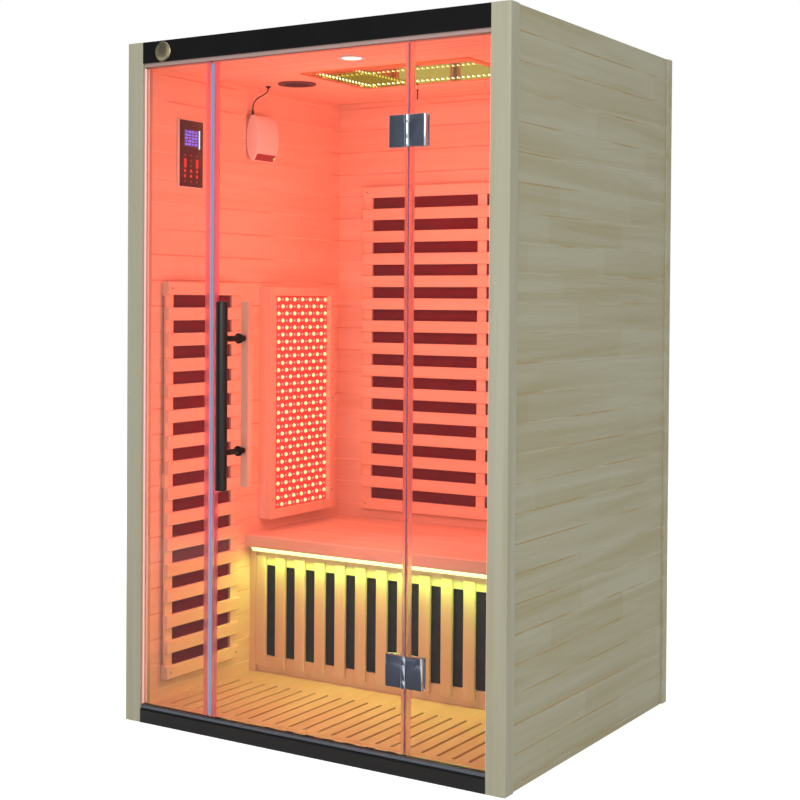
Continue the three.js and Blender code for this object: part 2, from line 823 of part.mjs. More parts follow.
function buildHandle() {
  const half = handleLength / 2;
  const bar = turned([
    [0, handleMiddle - half],
    [handleRadius - handleEdge, handleMiddle - half],
    [handleRadius, handleMiddle - half + handleEdge],
    [handleRadius, handleMiddle + half - handleEdge],
    [handleRadius - handleEdge, handleMiddle + half],
    [0, handleMiddle + half],
  ], handleX, handleY, handleSides);
  addPiece('outer_handle', bar, 'blackSteel');

  const barFront = glassBack + innerBarGap;
  const innerBar = rectangle(
    handleX - innerBarWidth / 2,
    handleX + innerBarWidth / 2,
    barFront,
    barFront + innerBarDepth,
    innerBarEdgeRadius,
  );
  addPiece('inner_handle', alongZ(innerBar, handleMiddle - half, handleMiddle + half), 'slats');

  const collarBack = glassFront - clearance;
  const spacerFront = glassBack + clearance;
  const profile = [
    [0, handleY],
    [standoffRadius, handleY],
    [standoffRadius, collarBack - collarThickness],
    [collarRadius, collarBack - collarThickness],
    [collarRadius, collarBack],
    [boltRadius, collarBack],
    [boltRadius, spacerFront],
    [spacerRadius, spacerFront],
    [standoffRadius, barFront - clearance],
    [0, barFront - clearance],
  ].map(([radius, y]) => new THREE.Vector2(radius, y));
  const saddle = uprightHole(handleRadius, handleX, handleY, 0, cabinHeight, handleSides);
  ['upper', 'lower'].forEach((name, i) => {
    const post = new THREE.LatheGeometry(profile, standoffSides).translate(handleX, 0, standoffHeights[i]);
    addPiece(`${name}_handle_standoff`, cut(post, saddle), 'steel');
  });
}

// Bench

function buildBench() {
  const halfWidth = liningX - clearance;
  const back = liningY - clearance;
  const topFront = noseBack + clearance;
  const seams = seamsBetween(topFront, back, back - boardPitch);
  const section = boardedSection(benchUnderside, benchHeight, topFront, back, seams).map(([z, y]) => [y, z]);
  addPiece('bench_top', alongX(outline(section), -halfWidth, halfWidth), 'lining');

  const nose = outline([
    [noseFront, noseBottom, noseLowerRadius],
    [noseBack, noseBottom],
    [noseBack, benchHeight],
    [noseFront, benchHeight, noseEdgeRadius],
  ]);
  addPiece('bench_nose', alongX(nose, -halfWidth, halfWidth), 'slats');

  const supportTop = benchUnderside - clearance;
  const cleatBottom = supportTop - supportCleatHeight;
  const legBack = calfFront + supportLegDepth;
  const support = outline([
    [calfFront, floorTop + clearance],
    [legBack, floorTop + clearance],
    [legBack, cleatBottom],
    [back, cleatBottom],
    [back, supportTop],
    [calfFront, supportTop],
  ]);
  addPiece('left_bench_support', alongX(support, -halfWidth, -halfWidth + supportWidth), 'slats');
  addPiece('right_bench_support', alongX(support, halfWidth - supportWidth, halfWidth), 'slats');

  const stripBack = noseBack - lightStripInset;
  const stripTop = noseBottom - clearance;
  const strip = rectangle(
    stripBack - lightStripDepth,
    stripBack,
    stripTop - lightStripHeight,
    stripTop,
    lightStripRadius,
  );
  addPiece('bench_light', alongX(strip, -calfHalfWidth, calfHalfWidth, 2), 'channel');
}

// Slatted guards: slats across the front of rails

// Corners of a slat's section as [place, depth], with eased front edges.
function slatSection(start, back, front, width) {
  return [
    [start, back],
    [start + width, back],
    [start + width, front - slatEdge],
    [start + width - slatEdge, front],
    [start + slatEdge, front],
    [start, front - slatEdge],
  ];
}

// The relief behind a rail leaves three feet that touch the wall.
function guardRail(x, height) {
  const middle = height / 2;
  const section = outline([
    [0, 0],
    [railFoot, 0],
    [railFoot, railRelief],
    [middle - railFoot / 2, railRelief],
    [middle - railFoot / 2, 0],
    [middle + railFoot / 2, 0],
    [middle + railFoot / 2, railRelief],
    [height - railFoot, railRelief],
    [height - railFoot, 0],
    [height, 0],
    [height, railDepth],
    [0, railDepth],
  ].map(([z, depth]) => [-depth, z]));
  return alongX(section, x - railWidth / 2, x + railWidth / 2);
}

// A guard on a wall behind the plane y = 0, its middle at x = 0, standing on z = 0.
function wallGuard(width, slatCount, railPlaces) {
  const height = (slatCount - 1) * slatPitch + slatHeight;
  const slats = Array.from({ length: slatCount }, (_, i) => {
    const section = slatSection(i * slatPitch, railDepth - letIn, railDepth + slatThickness, slatHeight);
    return alongX(outline(section.map(([z, depth]) => [-depth, z])), -width / 2, width / 2);
  });
  return join(...railPlaces.map((x) => guardRail(x, height)), ...slats);
}

function heaterPanel(x0, x1, height) {
  return box(x0, x1, -heaterThickness, 0, railFoot / 2, height - railFoot / 2);
}

function buildSideHeater(side, name) {
  const rail = sideGuardWidth / 2 - railWidth / 2;
  const height = (sideGuardSlats - 1) * slatPitch + slatHeight;
  const heaterHalf = rail - railWidth / 2 - clearance;
  const pieces = [
    addPiece(`${name}_guard`, wallGuard(sideGuardWidth, sideGuardSlats, [-rail, rail]), 'slats'),
    addPiece(`${name}_heater`, heaterPanel(-heaterHalf, heaterHalf, height), 'heater'),
  ];
  pieces.forEach((piece) => {
    piece.rotation.z = -side * Math.PI / 2;
    piece.position.set(side * (liningX - clearance), sideGuardMiddle, floorTop + sideGuardRise);
  });
}

function buildBackHeaters() {
  const rail = backGuardWidth / 2 - railWidth / 2;
  const height = (backGuardSlats - 1) * slatPitch + slatHeight;
  const inner = railWidth / 2 + clearance;
  const outer = rail - railWidth / 2 - clearance;
  const pieces = [
    addPiece('back_guard', wallGuard(backGuardWidth, backGuardSlats, [-rail, 0, rail]), 'slats'),
    addPiece('back_heater_left', heaterPanel(-outer, -inner, height), 'heater'),
    addPiece('back_heater_right', heaterPanel(inner, outer, height), 'heater'),
  ];
  pieces.forEach((piece) => piece.position.set(0, liningY - clearance, benchHeight + backGuardRise));
}

function buildCalfHeater() {
  const pitch = (2 * calfHalfWidth - calfSlatWidth) / calfOpenings;
  const railFront = calfFront + slatThickness;
  const railBack = railFront + railDepth;
  const bottom = floorTop + clearance;
  const bottomRailTop = bottom + calfBottomRail;
  const top = benchUnderside - clearance;
  const topRailBottom = top - calfTopRail;
  const slatBottom = floorTop + calfSlatRise;
  const slats = Array.from({ length: calfOpenings + 1 }, (_, i) => {
    const start = -calfHalfWidth + i * pitch;
    const section = slatSection(start, -railFront - letIn, -calfFront, calfSlatWidth);
    return alongZ(outline(section.map(([x, depth]) => [x, -depth])), slatBottom, slatBottom + calfSlatHeight);
  });
  const bottomRail = box(-calfHalfWidth, calfHalfWidth, railFront, railBack, bottom, bottomRailTop);
  const topRail = box(-calfHalfWidth, calfHalfWidth, railFront, railBack, topRailBottom, top);
  addPiece('calf_guard', join(bottomRail, topRail, ...slats), 'slats');

  const heater = box(
    -calfHalfWidth,
    calfHalfWidth,
    railBack - heaterThickness,
    railBack,
    bottomRailTop + clearance,
    topRailBottom - clearance,
  );
  addPiece('calf_heater', heater, 'heater');
}

// Fittings on the left wall

const wallFace = -liningX + clearance;

function buildTherapyPanel() {
  const near = therapyMiddle - therapyWidth / 2;
  const far = therapyMiddle + therapyWidth / 2;
  const top = therapyBase + therapyHeight;
  const inside = [
    near + therapyBorder,
    far - therapyBorder,
    therapyBase + therapyBorder,
    top - therapyBorder,
  ];
  const frame = rectangle(near, far, therapyBase, top, therapyCornerRadius);
  frame.holes.push(rectangle(...inside));
  addPiece('therapy_frame', alongX(frame, wallFace, wallFace + therapyDepth, 2), 'slats');

  const panel = rectangle(
    inside[0] + clearance,
    inside[1] - clearance,
    inside[2] + clearance,
    inside[3] - clearance,
  );
  addPiece('therapy_panel', alongX(panel, wallFace, wallFace + therapyDepth - therapyRecess), 'ledBoard');
}

function buildControlPanel() {
  const face = rectangle(
    controlMiddle - controlWidth / 2,
    controlMiddle + controlWidth / 2,
    controlBase,
    controlBase + controlHeight,
    controlCornerRadius,
  );
  addPiece('control_panel', alongX(face, wallFace, wallFace + controlThickness), 'darkPlastic');
}

// The ionizer's curved face is an arc over its height.
const arcRadius = (ionizerHeight ** 2 / 4 + ionizerDepth ** 2) / (2 * ionizerDepth);
const arcX = wallFace + ionizerDepth - arcRadius;
const arcZ = ionizerBase + ionizerHeight / 2;

function buildIonizer() {
  const near = ionizerMiddle - ionizerLength / 2;
  const half = Math.asin(ionizerHeight / 2 / arcRadius);
  const section = new THREE.Shape();
  section.moveTo(wallFace, ionizerBase);
  section.absarc(arcX, arcZ, arcRadius, -half, half);
  section.closePath();
  const body = new THREE.ExtrudeGeometry(section, {
    depth: ionizerLength - 2 * ionizerEdge,
    bevelThickness: ionizerEdge,
    bevelSize: ionizerEdge,
    bevelOffset: -ionizerEdge,
    bevelSegments: ionizerBevelSteps,
    curveSegments: ionizerArcSteps,
  });
  body.rotateX(Math.PI / 2).translate(0, near + ionizerLength - ionizerEdge, 0);

  const angle = THREE.MathUtils.degToRad(outletAngle);
  const slots = Array.from({ length: outletSlots }, (_, i) => {
    const slot = new THREE.BoxGeometry(2 * outletSlotDepth, outletSlotWidth, outletSlotHeight);
    const y = ionizerMiddle + (i - (outletSlots - 1) / 2) * outletSlotPitch;
    return slot.translate(arcRadius, 0, 0).rotateY(-angle).translate(arcX, y, arcZ);
  });
  const bootX = wallFace + bootOffset;
  const bootFoot = arcZ + Math.sqrt(arcRadius ** 2 - (bootX - arcX) ** 2);
  const boot = turned([
    [0, bootFoot - bootBottomRadius],
    [bootBottomRadius, bootFoot - bootBottomRadius],
    [bootTopRadius, bootFoot + bootHeight],
    [0, bootFoot + bootHeight],
  ], bootX, near + bootInset, smallSides);
  addPiece('ionizer', join(cut(body, ...slots), boot), 'plastic');
}

// The ionizer's lead, from its boot up to the gland in the ceiling
const leadRoute = [
  [-537.7, -25, 1768.3],
  [-537.6, -25, 1773],
  [-537.2, -24.9, 1778],
  [-536.3, -24.5, 1783],
  [-534.7, -23.7, 1788],
  [-532.3, -22.5, 1793],
  [-529.2, -20.8, 1797.6],
  [-525.4, -18.6, 1801.8],
  [-521, -16, 1805.5],
  [-516.3, -13, 1808.8],
  [-511.5, -9.8, 1812],
  [-507, -6.6, 1815.4],
  [-503.2, -3.8, 1819.3],
  [-500.3, -1.7, 1823.6],
  [-498.6, -0.5, 1828.3],
  [-498, 0, 1833.1],
];

function buildLead() {
  const path = new THREE.CatmullRomCurve3(leadRoute.map((point) => new THREE.Vector3(...point)));
  const section = new THREE.Shape();
  for (let i = 0; i < leadSides; i += 1) {
    const angle = i / leadSides * 2 * Math.PI;
    const corner = [leadRadius * Math.cos(angle), leadRadius * Math.sin(angle)];
    if (i === 0) {
      section.moveTo(...corner);
    } else {
      section.lineTo(...corner);
    }
  }
  section.closePath();
  const tube = new THREE.ExtrudeGeometry(section, { extrudePath: path, steps: leadSteps });
  addPiece('ionizer_lead', tube, 'rubber');

  const glandTop = ceilingBottom - clearance;
  const gland = turned([
    [0, glandTop - glandHeight],
    [glandTipRadius, glandTop - glandHeight],
    [glandRadius, glandTop - glandFlangeHeight],
    [glandRadius, glandTop],
    [0, glandTop],
  ], glandX, glandY, smallSides);
  addPiece('lead_gland', gland, 'rubber');
}

// Fittings in the ceiling

function buildCeilingFittings() {
  const bezelTop = ceilingBottom - clearance;
  const bezelBottom = bezelTop - bezelThickness;
  const lensDepth = bezelThickness / 2;

  const downlight = turned([
    [0, bezelBottom + lensDepth],
    [lampLensRadius, bezelBottom + lensDepth],
    [lampLensRadius + bezelEdge, bezelBottom],
    [lampBezelRadius - bezelEdge, bezelBottom],
    [lampBezelRadius, bezelTop],
    [lampCanRadius, bezelTop],
    [lampCanRadius, ceilingBottom + lampCanHeight],
    [0, ceilingBottom + lampCanHeight],
  ], lampX, lampY);
  addPiece('downlight', downlight, 'lamp');

  const bezel = rectangle(
    mirrorLightX - mirrorLightWidth / 2,
    mirrorLightX + mirrorLightWidth / 2,
    mirrorLightY - mirrorLightDepth / 2,
    mirrorLightY + mirrorLightDepth / 2,
    mirrorLightCornerRadius,
  );
  const housing = mirrorLightBlock(0, bezelBottom, ceilingBottom + mirrorLightHousing);
  const recess = mirrorLightBlock(
    -mirrorLightWall,
    bezelBottom - mirrorLightRecess,
    bezelBottom + mirrorLightRecess,
  );
  addPiece('mirror_light', cut(join(alongZ(bezel, bezelBottom, bezelTop), housing), recess), 'mirror');

  const neckInner = ventNeckRadius - ventRingWall;
  const neckTop = ceilingBottom + ventNeckHeight;
  const ring = new THREE.LatheGeometry([
    [neckInner, bezelBottom + ventLipEdge],
    [neckInner + ventLipEdge, bezelBottom],
    [ventRadius - bezelEdge, bezelBottom],
    [ventRadius, bezelTop],
    [ventNeckRadius, bezelTop],
    [ventNeckRadius, neckTop],
    [neckInner, neckTop],
    [neckInner, bezelBottom + ventLipEdge],
  ].map(([radius, z]) => new THREE.Vector2(radius, z)), ventSides);
  ring.rotateX(Math.PI / 2);
  const bladePitch = 2 * neckInner / ventBlades;
  const blades = Array.from({ length: ventBlades }, (_, i) => {
    const blade = new THREE.BoxGeometry(2 * ventNeckRadius, ventBladeThickness, ventBladeHeight);
    const y = (i - (ventBlades - 1) / 2) * bladePitch;
    return blade
      .rotateX(THREE.MathUtils.degToRad(ventBladeTilt))
      .translate(0, y, bezelBottom + ventLipEdge + ventBladeHeight / 2);
  });
  const mouth = uprightCylinder(neckInner + letIn, 0, 0, bezelBottom, neckTop, ventSides);
  const vent = blades.reduce((grille, blade) => join(grille, common(blade, mouth)), ring);
  addPiece('vent_grille', vent.translate(ventX, ventY, 0), 'darkPlastic');
}

// The temperature probe hangs from the ceiling above the bench.
function buildProbe() {
  const top = ceilingBottom - clearance;
  const tip = top - probeLength;
  const probe = turned([
    [0, tip],
    [probeTipRadius, tip],
    [probeRadius, tip + probeTipHeight],
    [probeRadius, top - probeFlangeThickness],
    [probeFlangeRadius, top - probeFlangeThickness],
    [probeFlangeRadius, top],
    [0, top],
  ], probeX, probeY, smallSides);
  addPiece('temperature_probe', probe, 'rubber');
}

buildFloor();
buildSideWall(-1, 'left');
buildSideWall(1, 'right');
buildBackWall();
buildFrontPost(-1, 'left');
buildFrontPost(1, 'right');
buildHeader();
buildRoof();
buildPowerUnit();
buildGlass();
buildSeal('left_pane_seal', leftPaneEdge, 1);
buildSeal('door_seal', doorLeft, -1);
buildHinge('upper', upperHingeZ);
buildHinge('lower', lowerHingeZ);
buildHandle();
buildBench();
buildSideHeater(-1, 'left');
buildSideHeater(1, 'right');
buildBackHeaters();
buildCalfHeater();
buildTherapyPanel();
buildControlPanel();
buildIonizer();
buildLead();
buildCeilingFittings();
buildProbe();

export default cabin;
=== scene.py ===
# %% [markdown]
# # An infrared sauna cabin
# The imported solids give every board, pane and fitting its size and place. This lesson gives them
# their finishes, adds the small pieces that a shop would fit last, and sets the camera and the
# light.

# %% Load the frame
import math

import bmesh
import bpy
from mathutils import Matrix, Vector


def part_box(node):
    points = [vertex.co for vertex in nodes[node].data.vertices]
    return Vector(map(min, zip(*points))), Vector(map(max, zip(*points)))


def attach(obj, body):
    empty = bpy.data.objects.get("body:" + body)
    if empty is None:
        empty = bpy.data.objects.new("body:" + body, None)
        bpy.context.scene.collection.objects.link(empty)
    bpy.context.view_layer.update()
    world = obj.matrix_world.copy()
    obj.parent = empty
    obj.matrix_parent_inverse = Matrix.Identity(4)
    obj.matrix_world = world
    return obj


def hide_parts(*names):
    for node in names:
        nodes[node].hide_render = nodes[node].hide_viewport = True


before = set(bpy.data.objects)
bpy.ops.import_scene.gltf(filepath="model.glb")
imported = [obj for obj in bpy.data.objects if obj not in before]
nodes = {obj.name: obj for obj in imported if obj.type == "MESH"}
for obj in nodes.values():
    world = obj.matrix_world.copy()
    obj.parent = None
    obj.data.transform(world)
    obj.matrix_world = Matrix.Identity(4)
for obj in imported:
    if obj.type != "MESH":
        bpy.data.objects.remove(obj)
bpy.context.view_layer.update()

scene = bpy.context.scene
scene.view_settings.view_transform = "Standard"
MM = 0.001
print("nodes in the frame:", len(nodes))

# %% [markdown]
# ## Camera
# The photograph was taken from the right of the door, at about chest height. Its lens was
# shifted, as view cameras do, so that the upright edges stay upright. Blender's shift values do
# the same here.

# %% Camera
view_data = bpy.data.cameras.new("view")
view_data.sensor_width = 36
view_data.lens = 66.91
view_data.shift_x = 0.0517
view_data.shift_y = -0.0978
view = bpy.data.objects.new("view", view_data)
view.location = (2.218, -3.682, 1.187)
view.rotation_euler = [math.radians(angle) for angle in (89.163, -0.389, 32.907)]
scene.collection.objects.link(view)
scene.camera = view
print("camera stands at", tuple(view.location))

# %% [markdown]
# ## Helpers for finishes
# A finish is a Principled shader whose colour and bump come from noise in Object coordinates, so
# that the pattern has a real scale and stays on its piece. These helpers keep the recipes below
# short.

# %% Helpers for finishes


def tint(red, green, blue):
    """A colour as it looks on screen, from 0 to 255, as the linear colour that a shader takes."""
    def linear(value):
        share = value / 255
        return share / 12.92 if share <= 0.04045 else ((share + 0.055) / 1.055) ** 2.4
    return (linear(red), linear(green), linear(blue), 1.0)


def shade(colour, factor):
    """A colour made darker or lighter by a factor."""
    return [min(channel * factor, 1) for channel in colour[:3]] + [1]


def new_finish(name, **sockets):
    """A material and its node tree, with constant values set on the shader's own sockets."""
    material = bpy.data.materials.new(name)
    material.use_nodes = True
    shader = material.node_tree.nodes["Principled BSDF"]
    for socket, value in sockets.items():
        shader.inputs[socket.replace("_", " ")].default_value = value
    return material, material.node_tree, shader


def add_node(tree, kind, links=(), **settings):
    """A node with settings by name and links as (input, output socket of another node)."""
    node = tree.nodes.new(kind)
    for name, value in settings.items():
        setattr(node, name, value)
    for socket, source in links:
        if isinstance(source, bpy.types.NodeSocket):
            tree.links.new(source, node.inputs[socket])
        else:
            node.inputs[socket].default_value = source
    return node


def stretched(tree, scale):
    """Object coordinates stretched by a scale for each axis."""
    place = add_node(tree, "ShaderNodeTexCoord")
    links = [("Vector", place.outputs["Object"]), ("Scale", scale)]
    return add_node(tree, "ShaderNodeMapping", links).outputs["Vector"]


def noise(tree, vector, scale, detail, distortion=0.0):
    """A cloudy value between 0 and 1."""
    links = [("Vector", vector), ("Scale", scale), ("Detail", detail), ("Distortion", distortion)]
    return add_node(tree, "ShaderNodeTexNoise", links).outputs["Fac"]


def ramp(tree, factor, *stops):
    """A colour ramp from (place, colour) stops."""
    node = add_node(tree, "ShaderNodeValToRGB", [("Fac", factor)])
    elements = node.color_ramp.elements
    for element, (place, colour) in zip(elements, stops):
        element.position = place
        element.color = colour
    for place, colour in stops[2:]:
        elements.new(place).color = colour
    return node.outputs["Color"]


def math_node(tree, operation, first, second=0.0):
    links = [(0, first), (1, second)]
    return add_node(tree, "ShaderNodeMath", links, operation=operation).outputs[0]


def blend(tree, first, second, share):
    """A sum of two values in which the first has the given share."""
    first_part = math_node(tree, "MULTIPLY", first, share)
    second_part = math_node(tree, "MULTIPLY", second, 1 - share)
    return math_node(tree, "ADD", first_part, second_part)


def bump(tree, shader, height, distance, strength):
    links = [("Height", height), ("Distance", distance), ("Strength", strength)]
    normal = add_node(tree, "ShaderNodeBump", links).outputs["Normal"]
    tree.links.new(normal, shader.inputs["Normal"])


# %% [markdown]
# ## Wood
# The boards are hemlock: pale, straight and nearly free of knots. Its grain is noise that is
# drawn out along the board, with a finer layer for the pores. Boards are glued up from shorter
# lengths: a tone for each length, picked by white noise from its number, keeps a boarded wall
# from looking like one printed sheet. Along the seams a warmer line comes and goes, where the
# finish has soaked into the edges. Between these patches the seam is painted a little lighter
# than the board, a painted highlight that offsets the shade in the groove.

# %% Wood
BOARD_PITCH = 72.9 * MM
TOP_BOARD = 62 * MM  # from the top of an outer wall to its first seam
FLOOR_SLAT_PITCH = 45.7 * MM
SEAM_SHARE = 0.03  # of a board's width, on each side of a seam
GLUED_LENGTH = 0.46  # in metres
TONE_RANGE = 0.13  # how far apart two lengths can lie on the colour ramp
FIGURE_SHARE = 0.8  # of the grain's figure in the colour; the pores have the rest
PORE_DEPTH = 0.4 * MM
GRAIN = {"X": (0.9, 22, 22), "Y": (22, 0.9, 22), "Z": (22, 22, 0.9)}
PORES = {"X": (9, 420, 420), "Y": (420, 9, 420), "Z": (420, 420, 9)}


def coordinate(tree, axis):
    """Object coordinates along one axis."""
    place = add_node(tree, "ShaderNodeTexCoord").outputs["Object"]
    return add_node(tree, "ShaderNodeSeparateXYZ", [(0, place)]).outputs[axis]


def board_count(tree, axis, pitch, first_seam):
    """The place across the boards, counted in boards from a seam."""
    from_seam = math_node(tree, "SUBTRACT", coordinate(tree, axis), first_seam)
    return math_node(tree, "DIVIDE", from_seam, pitch)


def white_noise(tree, dimensions, socket, source):
    """A value that jumps from one whole number to the next but is always the same for each."""
    links = [(socket, source)]
    node = add_node(tree, "ShaderNodeTexWhiteNoise", links, noise_dimensions=dimensions)
    return node.outputs["Value"]


def length_tone(tree, count, along):
    """A steady value for each glued length, from its board's number and its own number there."""
    board = math_node(tree, "FLOOR", count)
    start = white_noise(tree, "1D", "W", board)
    place = math_node(tree, "DIVIDE", coordinate(tree, along), GLUED_LENGTH)
    length = math_node(tree, "FLOOR", math_node(tree, "ADD", place, start))
    numbers = add_node(tree, "ShaderNodeCombineXYZ", [("X", board), ("Y", length)]).outputs[0]
    return white_noise(tree, "3D", "Vector", numbers)


def seam_line(tree, count):
    """1 beside each seam, and 0 elsewhere."""
    from_seam = math_node(tree, "PINGPONG", count, 0.5)
    return math_node(tree, "LESS_THAN", from_seam, SEAM_SHARE)


def wood(name, along, pale, deep, boards=None, seam=None):
    """Hemlock with its grain along an axis; boards is (axis across, pitch, first seam)."""
    material, tree, shader = new_finish(name, Roughness=0.55, Specular_IOR_Level=0.3)
    figure = noise(tree, stretched(tree, GRAIN[along]), 1.0, 5.0, 0.8)
    pores = noise(tree, stretched(tree, PORES[along]), 1.0, 2.0)
    value = blend(tree, figure, pores, FIGURE_SHARE)
    count = board_count(tree, *boards) if boards else None
    if boards:
        tone = math_node(tree, "MULTIPLY", length_tone(tree, count, along), TONE_RANGE)
        lowered = math_node(tree, "SUBTRACT", value, TONE_RANGE / 2)
        value = math_node(tree, "ADD", lowered, tone)
    middle = [(a + b) / 2 for a, b in zip(pale, deep)]
    colour = ramp(tree, value, (0.3, pale), (0.72, deep), (0.52, middle))
    if seam:
        # Where the patches are low, the seam is a painted highlight, lighter than the board, that
        # offsets the groove's shade. Where they are high, it is the warmer line of soaked finish.
        seam_highlight_or_soak = noise(tree, stretched(tree, (3, 3, 3)), 1.0, 2.0)
        seam_colour = ramp(tree, seam_highlight_or_soak, (0.44, shade(pale, 1.08)), (0.58, seam))
        links = [("Fac", seam_line(tree, count)), ("Color1", colour), ("Color2", seam_colour)]
        colour = add_node(tree, "ShaderNodeMixRGB", links).outputs["Color"]
    tree.links.new(colour, shader.inputs["Base Color"])
    bump(tree, shader, pores, PORE_DEPTH, 0.35)
    return material


outer_wood = tint(197, 194, 169), tint(176, 166, 125)
inner_wood = tint(240, 214, 190), tint(230, 196, 164)
# Painted reflection: the posts are the same hemlock as the walls, and their greyer tone stands in
# for the sky that they mirror.
post_wood_painted_sky_sheen = tint(196, 194, 172), tint(182, 177, 149)
# Painted red light: the header is the same hemlock as the walls, and its pinkish grey stands in for
# the cabin's red light on it.
header_wood_painted_red_light = tint(200, 172, 164), tint(184, 154, 146)
deck_wood = tint(220, 192, 166), tint(206, 172, 142)
outer_seam, inner_seam = tint(193, 172, 127), tint(224, 178, 150)
wall_boards = ("Z", BOARD_PITCH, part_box("left_wall_panel")[1].z - TOP_BOARD)
lining_boards = ("Z", BOARD_PITCH, 0.0)
ceiling_boards = ("Y", BOARD_PITCH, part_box("back_wall_lining")[0].y - BOARD_PITCH)
bench_boards = ("Y", BOARD_PITCH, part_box("bench_top")[1].y - BOARD_PITCH)
deck_slats = ("X", FLOOR_SLAT_PITCH, 0.0)

wood_of = {
    "left_wall_panel": wood("hemlock_side", "Y", *outer_wood, wall_boards, outer_seam),
    "back_wall_panel": wood("hemlock_back", "X", *outer_wood, wall_boards),
    "front_left_post": wood("hemlock_post_painted_sheen", "Z", *post_wood_painted_sky_sheen),
    "roof_panel": wood("hemlock_sheet", "X", *outer_wood),
    "header_beam": wood("hemlock_header_painted_red_light", "X", *header_wood_painted_red_light),
    "left_wall_lining": wood("lining_side", "Y", *inner_wood, lining_boards, inner_seam),
    "back_wall_lining": wood("lining_back", "X", *inner_wood, lining_boards, inner_seam),
    "ceiling_boards": wood("lining_ceiling", "X", *inner_wood, ceiling_boards, inner_seam),
    "bench_top": wood("bench_boards", "X", *inner_wood, bench_boards, inner_seam),
    "floor_grille": wood("floor_slats", "Y", *deck_wood, deck_slats, inner_seam),
    "back_guard": wood("slats_across", "X", *inner_wood),
    "left_guard": wood("slats_side", "Y", *inner_wood),
    "calf_guard": wood("slats_upright", "Z", *inner_wood),
}
same_wood = {
    "right_wall_panel": "left_wall_panel",
    "front_right_post": "front_left_post",
    "floor_base": "roof_panel",
    "right_wall_lining": "left_wall_lining",
    "right_guard": "left_guard",
    "bench_nose": "back_guard",
    "left_bench_support": "calf_guard",
    "right_bench_support": "calf_guard",
    "therapy_frame": "calf_guard",
    "inner_handle": "calf_guard",
}
for node, source in same_wood.items():
    wood_of[node] = wood_of[source]
print("wood finishes:", len(set(wood_of.values())))

# %% [markdown]
# ## Metal, plastic, glass and light
# Polished metal needs little more than a low roughness and a faint brushed bump. The glass is one
# Principled shader with full transmission. What glows is a shader with emission, and its strength
# stays low enough for its colour to show. The magnet cores and glazing beads glow too, though they
# are no lamps: their glow is painted light.

# %% Metal, plastic, glass and light


def speckled(name, colour, roughness, grain, depth, metallic=0.0, spread=0.12, shine=0.5):
    """A moulded or coated finish: fine noise varies its colour and gives it a skin."""
    material, tree, shader = new_finish(name, Metallic=metallic, Roughness=roughness,
                                        Specular_IOR_Level=shine)
    vector = stretched(tree, (1, 1, 1))
    fine = noise(tree, vector, grain, 3.0)
    cloud = noise(tree, vector, 9.0, 3.0)
    value = blend(tree, fine, cloud, 0.5)
    low, high = shade(colour, 1 - spread), shade(colour, 1 + spread)
    tree.links.new(ramp(tree, value, (0.35, low), (0.65, high)), shader.inputs["Base Color"])
    bump(tree, shader, fine, depth, 0.3)
    return material


def brushed(name, colour, roughness, scale):
    """Metal with fine lines along one axis, which is the axis of the small scale."""
    material, tree, shader = new_finish(name, Metallic=1.0, Roughness=roughness)
    lines = noise(tree, stretched(tree, scale), 1.0, 3.0)
    varied = ramp(tree, lines, (0.3, shade(colour, 0.86)), (0.7, colour))
    tree.links.new(varied, shader.inputs["Base Color"])
    bump(tree, shader, lines, 0.04 * MM, 0.25)
    return material


def glowing(name, colour, glow, strength):
    """A lit lens, or a painted glow on a part that is no lamp: its own colour with an emission that
    noise makes slightly uneven.
    """
    material, tree, shader = new_finish(name, Roughness=0.3, Emission_Strength=strength)
    cloud = noise(tree, stretched(tree, (1, 1, 1)), 40.0, 2.0)
    uneven = ramp(tree, cloud, (0.3, shade(glow, 0.9)), (0.7, glow))
    tree.links.new(uneven, shader.inputs["Emission Color"])
    shader.inputs["Base Color"].default_value = colour
    return material


def clear_glass():
    """Clear panes with a faint, uneven tint."""
    material, tree, shader = new_finish("clear_glass", Roughness=0.0, IOR=1.3,
                                        Transmission_Weight=1.0)
    cloud = noise(tree, stretched(tree, (1, 1, 1)), 2.0, 1.0)
    colour = ramp(tree, cloud, (0.2, tint(250, 253, 252)), (0.8, tint(252, 254, 254)))
    tree.links.new(colour, shader.inputs["Base Color"])
    return material


def clear_plastic(name, roughness, colour):
    """Soft plastic strips that let light through, with a haze along their length."""
    material, tree, shader = new_finish(name, Roughness=roughness, IOR=1.12,
                                        Transmission_Weight=0.96)
    haze = noise(tree, stretched(tree, (300, 300, 2)), 1.0, 2.0)
    hazy = ramp(tree, haze, (0.3, colour), (0.7, shade(colour, 1.04)))
    tree.links.new(hazy, shader.inputs["Base Color"])
    return material


black_gloss = speckled("black_gloss", tint(30, 29, 29), 0.16, 300.0, 0.00003, shine=0.2)
chrome = brushed("polished_steel", tint(186, 194, 206), 0.16, (260, 260, 6))
aluminium = brushed("satin_aluminium", tint(176, 176, 172), 0.38, (4, 300, 300))
channel_metal = brushed("channel_metal", tint(118, 124, 134), 0.42, (4, 300, 300))
black_steel = speckled("black_steel", tint(38, 33, 32), 0.38, 1400.0, 0.00012, metallic=0.4)
grey_metal = speckled("grey_metal", tint(150, 152, 155), 0.45, 700.0, 0.0001, metallic=0.6)
carbon = speckled("carbon_heater", tint(32, 27, 24), 0.5, 260.0, 0.0002, shine=0.2)
# Painted red light: the side and back heaters are the same dark carbon as the calf heater, and this
# red copy paints the cabin's red light on them.
carbon_painted_red_glow = speckled("heater_painted_red_glow", tint(108, 10, 15), 0.6, 260.0, 0.0002,
                       shine=0.0)
led_board = speckled("led_board", tint(236, 104, 104), 0.45, 700.0, 0.0001)
dark_plastic = speckled("dark_plastic", tint(70, 26, 24), 0.22, 800.0, 0.00005)
outlet_plastic = speckled("outlet_plastic", tint(150, 62, 66), 0.4, 800.0, 0.0001)
